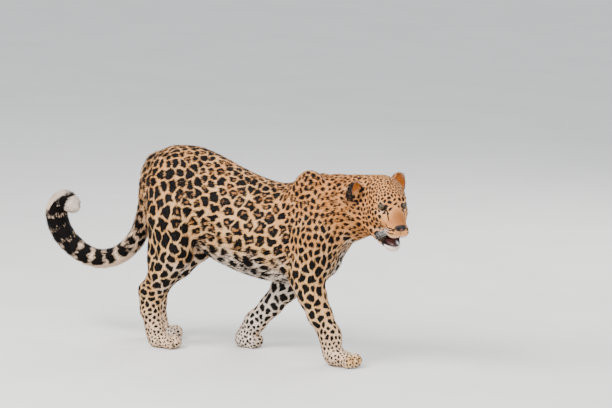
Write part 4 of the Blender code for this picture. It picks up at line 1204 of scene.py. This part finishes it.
class Tufts:
    """Many flattened locks of fur, each a closed shape lying along the flow of the coat."""

    def __init__(self, skin, spots, weights, count, long, draw):
        faces, shares = skin.scatter(weights, count, draw)
        self.root = skin.read(skin.points, faces, shares)
        self.normal = unit(skin.read(skin.normals, faces, shares))
        flow = skin.read(skin.flow, faces, shares) + waves(self.root, SWAY_WAVE, 5) * FLOW_SWAY
        self.flow = unit(flow - (flow * self.normal).sum(axis=1, keepdims=True) * self.normal)
        plan = skin.read(skin.plan, faces, shares)
        self.region = skin.region[skin.faces[faces, 0]]
        self.unwrap = (skin.unwrap[faces] * shares[:, :, None]).sum(axis=1)
        self.rings = LONG_RINGS if long else SHORT_RINGS
        stretch = LONG_STRETCH if long else 1.0
        self.length = plan[:, 3] * draw.uniform(*LENGTH_SPREAD, count) * stretch
        self.length[skin.read(skin.bare, faces, shares) > BARE_LIMIT] = 0.0
        self.width = self.length * TUFT_WIDTH_SHARE * draw.uniform(*WIDTH_SPREAD, count) / stretch
        rise = TUFT_RISE + TUFT_RISE_SPREAD * draw.normal(size=count) + (LONG_RISE if long else 0.0)
        self.rise = np.radians(rise)
        self.lean = draw.normal(0.0, TUFT_LEAN, count)
        self.shade = draw.uniform(0.0, 1.0, count)
        places = [self.root + self.flow * self.length[:, None] * share for share in MARK_PLACES]
        self.values = [markings(place, self.normal, self.flow, plan, self.region, spots) for place in places]

    def corners(self, picks):
        """Corner points of the picked tufts, a triangle at each ring and a point at the tip."""
        root, normal, flow = self.root[picks], self.normal[picks], self.flow[picks]
        side = np.cross(normal, flow)
        length, width = self.length[picks, None], self.width[picks, None]
        rise, lean = self.rise[picks, None], side * self.lean[picks, None]
        heading = flow * np.cos(rise) + normal * np.sin(rise)
        sets = []
        for place, breadth in self.rings:
            lift = normal * (math.sin(math.pi * place) * length * TUFT_ARCH - ROOT_DEPTH * (place == 0.0))
            middle = root + heading * length * place + lift + lean * length * place * place
            half = width * breadth / 2
            sets += [middle - side * half, middle + side * half, middle + normal * half * TUFT_THICKNESS]
        sets.append(root + (heading - normal * TIP_SINK + lean) * length)
        corners = np.stack(sets, axis=1)
        corners[:, :, 2] = np.maximum(corners[:, :, 2], 0.0)
        return corners


def tuft_faces(rings):
    """Triangles of one tuft with this many rings of three corners and a tip, closed at the root."""
    faces = [(0, 2, 1)]
    for ring in range(rings - 1):
        for corner in range(3):
            a, b = ring * 3 + corner, ring * 3 + (corner + 1) % 3
            faces += [(a, b, b + 3), (a, b + 3, a + 3)]
    last = (rings - 1) * 3
    return np.array(faces + [(last + corner, last + (corner + 1) % 3, rings * 3) for corner in range(3)])


def tuft_mesh(name, tufts, picks):
    """One mesh of the picked tufts, with markings, soft normals and a small patch each in the unwrap."""
    corners = tufts.corners(picks)
    count, size = corners.shape[:2]
    rings = size // 3
    pattern = tuft_faces(rings)
    faces = (pattern[None] + size * np.arange(count)[:, None, None]).reshape(-1, 3)
    mesh = bpy.data.meshes.new(name)
    mesh.vertices.add(count * size)
    mesh.loops.add(faces.size)
    mesh.polygons.add(len(faces))
    write_array(mesh.vertices, "co", corners)
    write_array(mesh.loops, "vertex_index", faces, np.int32)
    write_array(mesh.polygons, "loop_start", np.arange(0, faces.size, 3), np.int32)
    mesh.update(calc_edges=True)
    mesh.shade_smooth()
    patch = np.zeros((size, 2))
    for ring in range(rings):
        rise = -1.0 + 2.0 * ring / rings
        patch[ring * 3:ring * 3 + 3] = ((-1.0, rise), (1.0, rise), (0.0, rise + 0.5))
    patch[-1] = (0.0, 1.0)
    places = tufts.unwrap[picks][:, None, None, :] + PATCH * patch[pattern][None]
    write_array(mesh.uv_layers.new(name="OFBake").uv, "vector", places)
    part = np.append(np.repeat(np.arange(rings) / rings, 3), 1.0)
    root, end = (values[picks][:, None, :] for values in tufts.values)
    store(mesh, "coat", "FLOAT_COLOR", root + (end - root) * part[None, :, None])
    store(mesh, "tip", "FLOAT", np.tile(part, count))
    store(mesh, "shade", "FLOAT", np.repeat(tufts.shade[picks], size))
    tilt = SOFT_SPREAD * (tufts.lean[picks] / TUFT_LEAN)[:, None]
    soft = unit(tufts.normal[picks] + tilt * np.cross(tufts.normal[picks], tufts.flow[picks]))
    store(mesh, "custom_normal", "FLOAT_VECTOR", np.repeat(soft, size, axis=0))
    return mesh


def add_object(name, data):
    thing = bpy.data.objects.new(name, data)
    bpy.context.scene.collection.objects.link(thing)
    return thing


def place_camera(shift):
    """A long lens at the photo's azimuth, height and slight roll."""
    azimuth, elevation, roll = (math.radians(angle) for angle in (VIEW_AZIMUTH, VIEW_ELEVATION, VIEW_ROLL))
    right = Vector((math.cos(azimuth), math.sin(azimuth), 0.0))
    level = Vector((math.sin(azimuth), -math.cos(azimuth), 0.0))
    back = level * math.cos(elevation) + Vector((0.0, 0.0, math.sin(elevation)))
    up = back.cross(right)
    right, up = right * math.cos(roll) + up * math.sin(roll), up * math.cos(roll) - right * math.sin(roll)
    across, above = PICTURE[0] / 2 - GROUND_PIXEL[0], GROUND_PIXEL[1] - PICTURE[1] / 2
    data = bpy.data.cameras.new("camera")
    data.sensor_width = SENSOR
    data.lens = SENSOR * CAMERA_DISTANCE / (PICTURE[0] * METRES_PER_PIXEL)
    data.clip_end = CLIP_END
    camera = add_object("camera", data)
    matrix = Matrix((right, up, back)).transposed().to_4x4()
    matrix.translation = (right * across + up * above) * METRES_PER_PIXEL + shift + back * CAMERA_DISTANCE
    camera.matrix_world = matrix
    bpy.context.scene.camera = camera


class Shader:
    """A node material written as short calls."""

    def __init__(self, name, finish):
        """The finish holds the surface's constant values by socket name."""
        self.material = bpy.data.materials.new(name)
        self.material.use_nodes = True
        self.tree = self.material.node_tree
        self.surface = self.tree.nodes["Principled BSDF"].inputs
        for socket, value in finish.items():
            self.surface[socket].default_value = value

    def node(self, kind, **settings):
        node = self.tree.nodes.new("ShaderNode" + kind)
        for key, value in settings.items():
            setattr(node, key, value)
        return node

    def feed(self, source, socket):
        """Lead an output, a number or a colour into a socket."""
        if isinstance(source, bpy.types.NodeSocket):
            self.tree.links.new(source, socket)
        else:
            socket.default_value = colour(source) if isinstance(source, tuple) else source

    def attribute(self, name):
        return self.node("Attribute", attribute_name=name).outputs

    def texture(self, kind, scale, output, vector=None):
        """A texture in the object's own metres, or along another vector."""
        node = self.node("Tex" + kind)
        node.inputs["Scale"].default_value = scale
        self.feed(vector or self.node("TexCoord").outputs["Object"], node.inputs["Vector"])
        return node.outputs[output]

    def noise(self, scale, detail=NOISE_DETAIL, vector=None):
        output = self.texture("Noise", scale, "Fac", vector)
        output.node.inputs["Detail"].default_value = detail
        return output

    def mix(self, share, first, second, blend="MIX"):
        """A colour between two, each an output or a colour."""
        node = self.node("Mix", data_type="RGBA", blend_type=blend)
        for index, source in ((0, share), (6, first), (7, second)):
            self.feed(source, node.inputs[index])
        return node.outputs[2]

    def spread(self, source, low, high, start=0.0, end=1.0):
        """The source's range from low to high, spread over start to end."""
        node = self.node("MapRange", interpolation_type="SMOOTHSTEP")
        for socket, value in zip(node.inputs, (source, low, high, start, end)):
            self.feed(value, socket)
        return node.outputs["Result"]

    def add(self, first, second):
        node = self.node("Math", operation="ADD")
        self.feed(first, node.inputs[0])
        self.feed(second, node.inputs[1])
        return node.outputs["Value"]

    def bump(self, height, strength, distance):
        node = self.node("Bump")
        for name, value in (("Strength", strength), ("Distance", distance), ("Height", height)):
            self.feed(value, node.inputs[name])
        self.feed(node.outputs["Normal"], self.surface["Normal"])


def colour(values):
    """A display colour as linear light with full alpha."""
    linear = [value / 12.92 if value < 0.04045 else ((value + 0.055) / 1.055) ** 2.4 for value in values]
    return (*linear, 1.0)


def coat_colour(shader):
    """The coat's colour from its stored markings, with soft changes of tone between tufts."""
    split = shader.node("SeparateColor")
    values = shader.attribute("coat")
    shader.feed(values["Color"], split.inputs["Color"])
    broad, fine = shader.noise(BROAD_GRAIN), shader.noise(FINE_GRAIN)
    base = shader.mix(shader.spread(broad, *GRAIN), TAN, TAN_LIGHT)
    base = shader.mix(values["Alpha"], base, ORANGE)
    base = shader.mix(shader.spread(split.outputs["Green"], 0.0, 1.0, 0.0, ROSETTE_SHARE), base, ROSETTE)
    base = shader.mix(split.outputs["Blue"], base, WHITE)
    ragged = shader.add(split.outputs["Red"], shader.spread(fine, *GRAIN, -RAGGED, RAGGED))
    black = shader.mix(shader.spread(broad, *GRAIN), BLACK, BLACK_WARM)
    return shader.mix(shader.spread(ragged, *TIGHT_GRAIN), base, black), fine


def make_coat_material():
    """The markings on the tufts, darker at their roots, and a little different from tuft to tuft."""
    shader = Shader("coat", COAT_FINISH)
    tone, fine = coat_colour(shader)
    tip, shade = shader.attribute("tip")["Fac"], shader.attribute("shade")["Fac"]
    tone = shader.mix(shader.spread(tip, 0.0, 0.5, ROOT_SHADE, 0.0), tone, UNDERCOAT, "MULTIPLY")
    tone = shader.mix(shader.spread(shade, 0.0, 1.0, 0.0, LOCK_SHADE), tone, TUFT_SHADE, "MULTIPLY")
    shader.feed(tone, shader.surface["Base Color"])
    shader.bump(fine, *COAT_BUMP)
    return shader.material


def make_skin_material():
    """Skin under the fur with the coat's markings, and bare wet skin on the nose, lips and eye rims; the same
    dark leather inside the mouth is painted shade.
    """
    shader = Shader("skin", SKIN_FINISH)
    tone, fine = coat_colour(shader)
    bare = shader.attribute("bare")["Fac"]
    # Dark leather; inside the mouth it is painted shade
    leather = shader.mix(shader.spread(shader.noise(LEATHER_GRAIN), *TIGHT_GRAIN), NOSE_DARK_AND_MOUTH_PAINTED_SHADE, NOSE_BROWN_AND_MOUTH_PAINTED_SHADE)
    leather = shader.mix(shader.attribute("blush")["Fac"], leather, NOSE_PINK)
    shader.feed(shader.mix(bare, tone, leather), shader.surface["Base Color"])
    shader.feed(shader.spread(bare, *SKIN_ROUGHNESS), shader.surface["Roughness"])
    pores = shader.texture("Voronoi", PORE_GRAIN, "Distance")
    shader.bump(shader.mix(bare, fine, pores), *SKIN_BUMP)
    return shader.material


def make_eye_material():
    """Yellow-green iris with fine rays round a black pupil, and a dark edge."""
    shader = Shader("eye", EYE_FINISH)
    rays = shader.noise(RAY_GRAIN, RAY_DETAIL, shader.attribute("rays")["Vector"])
    ramp = shader.node("ValToRGB")
    elements = ramp.color_ramp.elements
    while len(elements) < len(EYE_STOPS):
        elements.new(1.0)
    for element, (position, tone) in zip(elements, EYE_STOPS):
        element.position = position
        element.color = colour(tone)
    shader.feed(shader.attribute("place")["Fac"], ramp.inputs["Fac"])
    share = shader.spread(rays, *TIGHT_GRAIN, 0.0, RAY_SHARE)
    tone = shader.mix(share, ramp.outputs["Color"], RAY_COLOUR, "MULTIPLY")
    shader.feed(tone, shader.surface["Base Color"])
    return shader.material


def make_tongue_material():
    """Wet mottled tongue with fine bumps, its reds deepened with painted shade of the mouth's inside."""
    shader = Shader("tongue", TONGUE_FINISH)
    tone = shader.mix(shader.spread(shader.noise(TONGUE_GRAIN), *GRAIN), TONGUE_DARK_PAINTED_SHADE, TONGUE_PINK_PAINTED_SHADE)
    shader.feed(tone, shader.surface["Base Color"])
    shader.bump(shader.texture("Voronoi", TASTE_GRAIN, "Distance"), *TONGUE_BUMP)
    return shader.material


def make_plain_material(name, tone, roughness):
    """A soft single tone with slight mottling, for whiskers and the studio floor."""
    shader = Shader(name, {"Roughness": roughness})
    darker = tuple(value * MOTTLE for value in tone)
    shader.feed(shader.mix(shader.noise(MOTTLE_GRAIN), tone, darker), shader.surface["Base Color"])
    return shader.material


def make_eye(side):
    """An eyeball with a slight bulge over the iris, and how far each point is from the pupil's middle."""
    shape = bmesh.new()
    bmesh.ops.create_uvsphere(shape, u_segments=EYE_SEGMENTS, v_segments=EYE_SEGMENTS, radius=EYE_RADIUS)
    mesh = mesh_of(shape, "eye")
    points = read_array(mesh.vertices, "co", 3)[:, (2, 0, 1)]
    away = np.arctan2(np.hypot(points[:, 1], points[:, 2]), points[:, 0])
    turn = np.arctan2(points[:, 2], points[:, 1])
    points *= (1.0 + CORNEA_BULGE * smooth_step(-away, -CORNEA_EDGE, 0.0))[:, None]
    store(mesh, "place", "FLOAT", away / math.pi)
    rays = np.column_stack([np.cos(turn), np.sin(turn), away * RAY_RUN]) * RAY_SCALE
    store(mesh, "rays", "FLOAT_VECTOR", rays)
    write_array(mesh.vertices, "co", out_of(eye_frame(side), points))
    mesh.update()
    mesh.shade_smooth()
    return mesh


def make_whiskers(side):
    """Rows of long tapered hairs that sweep out and back from the whisker pads."""
    draw = np.random.default_rng(SEED + side)
    roots, lengths, ways = [], [], []
    for row in range(WHISKER_ROWS):
        start, end, _ = whisker_row(row)
        for place in WHISKER_PLACES:
            roots.append(start * (1 - place) + end * place)
            lengths.append(WHISKER_LENGTH * draw.uniform(*WHISKER_SPREAD))
            ways.append(np.add(WHISKER_WAY, (WHISKER_SWEEP * place, 0.0, WHISKER_FALL * row)))
    flip = np.array((1.0, side, 1.0))
    turn = np.array(head_frame().to_3x3()).T
    roots = fit_to_field(out_of(head_frame(), np.array(roots) * flip), WHISKER_DEPTH, FIT_STEPS * 2)
    ways = unit(np.array(ways) + draw.normal(0.0, WHISKER_STRAY, (len(ways), 3))) * flip @ turn
    shape = bmesh.new()
    for root, length, way in zip(roots, lengths, ways):
        add_whisker(shape, root, way, length)
    bmesh.ops.recalc_face_normals(shape, faces=shape.faces)
    mesh = mesh_of(shape, "whiskers")
    mesh.shade_smooth()
    return mesh


def add_whisker(shape, root, way, length):
    """A tapered round hair that droops towards its tip."""
    side = unit(np.cross(way, (0.0, 0.0, 1.0))[None])[0]
    above = np.cross(side, way)
    droop = np.array((0.0, 0.0, -WHISKER_DROOP * length))
    rings = []
    for step in range(WHISKER_STEPS):
        part = step / WHISKER_STEPS
        middle = root + way * length * part + droop * part * part
        radius = WHISKER_RADIUS * (1.0 - WHISKER_TAPER * part)
        turns = 2 * math.pi * np.arange(WHISKER_SIDES) / WHISKER_SIDES
        ring = [middle + radius * (side * math.cos(turn) + above * math.sin(turn)) for turn in turns]
        rings.append([shape.verts.new(place) for place in ring])
    tip = shape.verts.new(root + way * length + droop)
    for corner in range(WHISKER_SIDES):
        after = (corner + 1) % WHISKER_SIDES
        for first, second in zip(rings, rings[1:]):
            shape.faces.new((first[corner], first[after], second[after], second[corner]))
        shape.faces.new((rings[-1][corner], rings[-1][after], tip))
    shape.faces.new(rings[0][::-1])


def show(mesh, name, material, shift):
    """Put a mesh of the design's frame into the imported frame, riding with the body."""
    mesh.transform(Matrix.Translation(shift))
    mesh.materials.append(material)
    piece = add_object(name, mesh)
    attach(piece, "root")
    return piece


def unwrap(mesh):
    """Lay the skin out flat in islands of its own shape."""
    piece = add_object("unwrap", mesh)
    mesh.uv_layers.new(name="OFBake")
    bpy.context.view_layer.objects.active = piece
    piece.select_set(True)
    bpy.ops.object.mode_set(mode="EDIT")
    bpy.ops.mesh.select_all(action="SELECT")
    bpy.ops.uv.smart_project(angle_limit=math.radians(UNWRAP_ANGLE), island_margin=UNWRAP_MARGIN)
    bpy.ops.object.mode_set(mode="OBJECT")
    bpy.data.objects.remove(piece)


def add_coat(skin, spots, material, shift):
    """Short tufts over the whole skin, and longer ones where the coat is loose, in pieces by region."""
    draw = np.random.default_rng(SEED + 10)
    length = skin.read_faces(skin.plan[:, 3])
    area = skin.areas * (skin.read_faces(skin.bare) < BARE_LIMIT)
    short, long = area / length ** SHORT_CROWDING, area * smooth_step(length, *LONG_FROM)
    for label, weights, count, limit in (("coat", short, SHORT_TUFTS, SHORT_PER_PIECE),
                                         ("fringe", long, LONG_TUFTS, LONG_PER_PIECE)):
        tufts = Tufts(skin, spots, weights, count, label == "fringe", draw)
        for region in sorted(set(tufts.region)):
            picks = np.flatnonzero((tufts.region == region) & (tufts.length > 0))
            parts = np.array_split(picks[np.argsort(tufts.root[picks, 0])], len(picks) // limit + 1)
            for number, part in enumerate(parts, 1):
                if len(part):
                    name = f"{label}_{region}_{number}"
                    show(tuft_mesh(name, tufts, part), name, material, shift)


def add_lights(shift):
    """Soft studio light: a wide key from the upper left, a fill from the right and one from behind."""
    for name, place, size, power in LIGHTS:
        data = bpy.data.lights.new(name, "AREA")
        data.shape = "DISK"
        data.size = size
        data.energy = power
        lamp = add_object(name, data)
        lamp.location = Vector(place) + shift
        lamp.rotation_euler = (Vector(LIGHT_AIM) - Vector(place)).to_track_quat("-Z", "Y").to_euler()
    world = bpy.data.worlds.new("studio")
    bpy.context.scene.world = world
    world.use_nodes = True
    background = world.node_tree.nodes["Background"].inputs
    background["Color"].default_value = colour(SKY)
    background["Strength"].default_value = SKY_STRENGTH


def add_floor():
    shape = bmesh.new()
    bmesh.ops.create_grid(shape, x_segments=1, y_segments=1, size=FLOOR_SIZE)
    mesh = mesh_of(shape, "floor")
    mesh.materials.append(make_plain_material("floor", FLOOR_COLOUR, FLOOR_ROUGHNESS))
    floor = add_object("floor", mesh)
    floor.location.z = FLOOR_DROP


def main():
    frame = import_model()
    low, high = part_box("eye_right")
    shift = (low + high) / 2 - eye_frame(-1).translation
    place_camera(shift)
    mesh = make_skin()
    unwrap(mesh)
    skin = Skin(mesh)
    spots = Spots(skin)
    values = markings(skin.points, skin.normals, skin.flow, skin.plan, skin.region, spots)
    store(mesh, "coat", "FLOAT_COLOR", values)
    store(mesh, "bare", "FLOAT", skin.bare)
    store(mesh, "blush", "FLOAT", ball(folded(skin.points), *NOSE_BLUSH))
    add_coat(skin, spots, make_coat_material(), shift)
    piece = show(mesh, "skin", make_skin_material(), shift)
    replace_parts(piece, *[name for name in frame["nodes"] if not name.startswith(("eye", "tongue"))])
    eye_material = make_eye_material()
    whisker_material = make_plain_material("whisker", WHISKER_COLOUR, WHISKER_ROUGHNESS)
    for side, label in ((-1, "right"), (1, "left")):
        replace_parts(show(make_eye(side), "eyeball_" + label, eye_material, shift), "eye_" + label)
        show(make_whiskers(side), "whiskers_" + label, whisker_material, shift)
    tongue = frame["nodes"]["tongue"]
    tongue.data.materials.clear()
    tongue.data.materials.append(make_tongue_material())
    add_floor()
    add_lights(shift)


main()
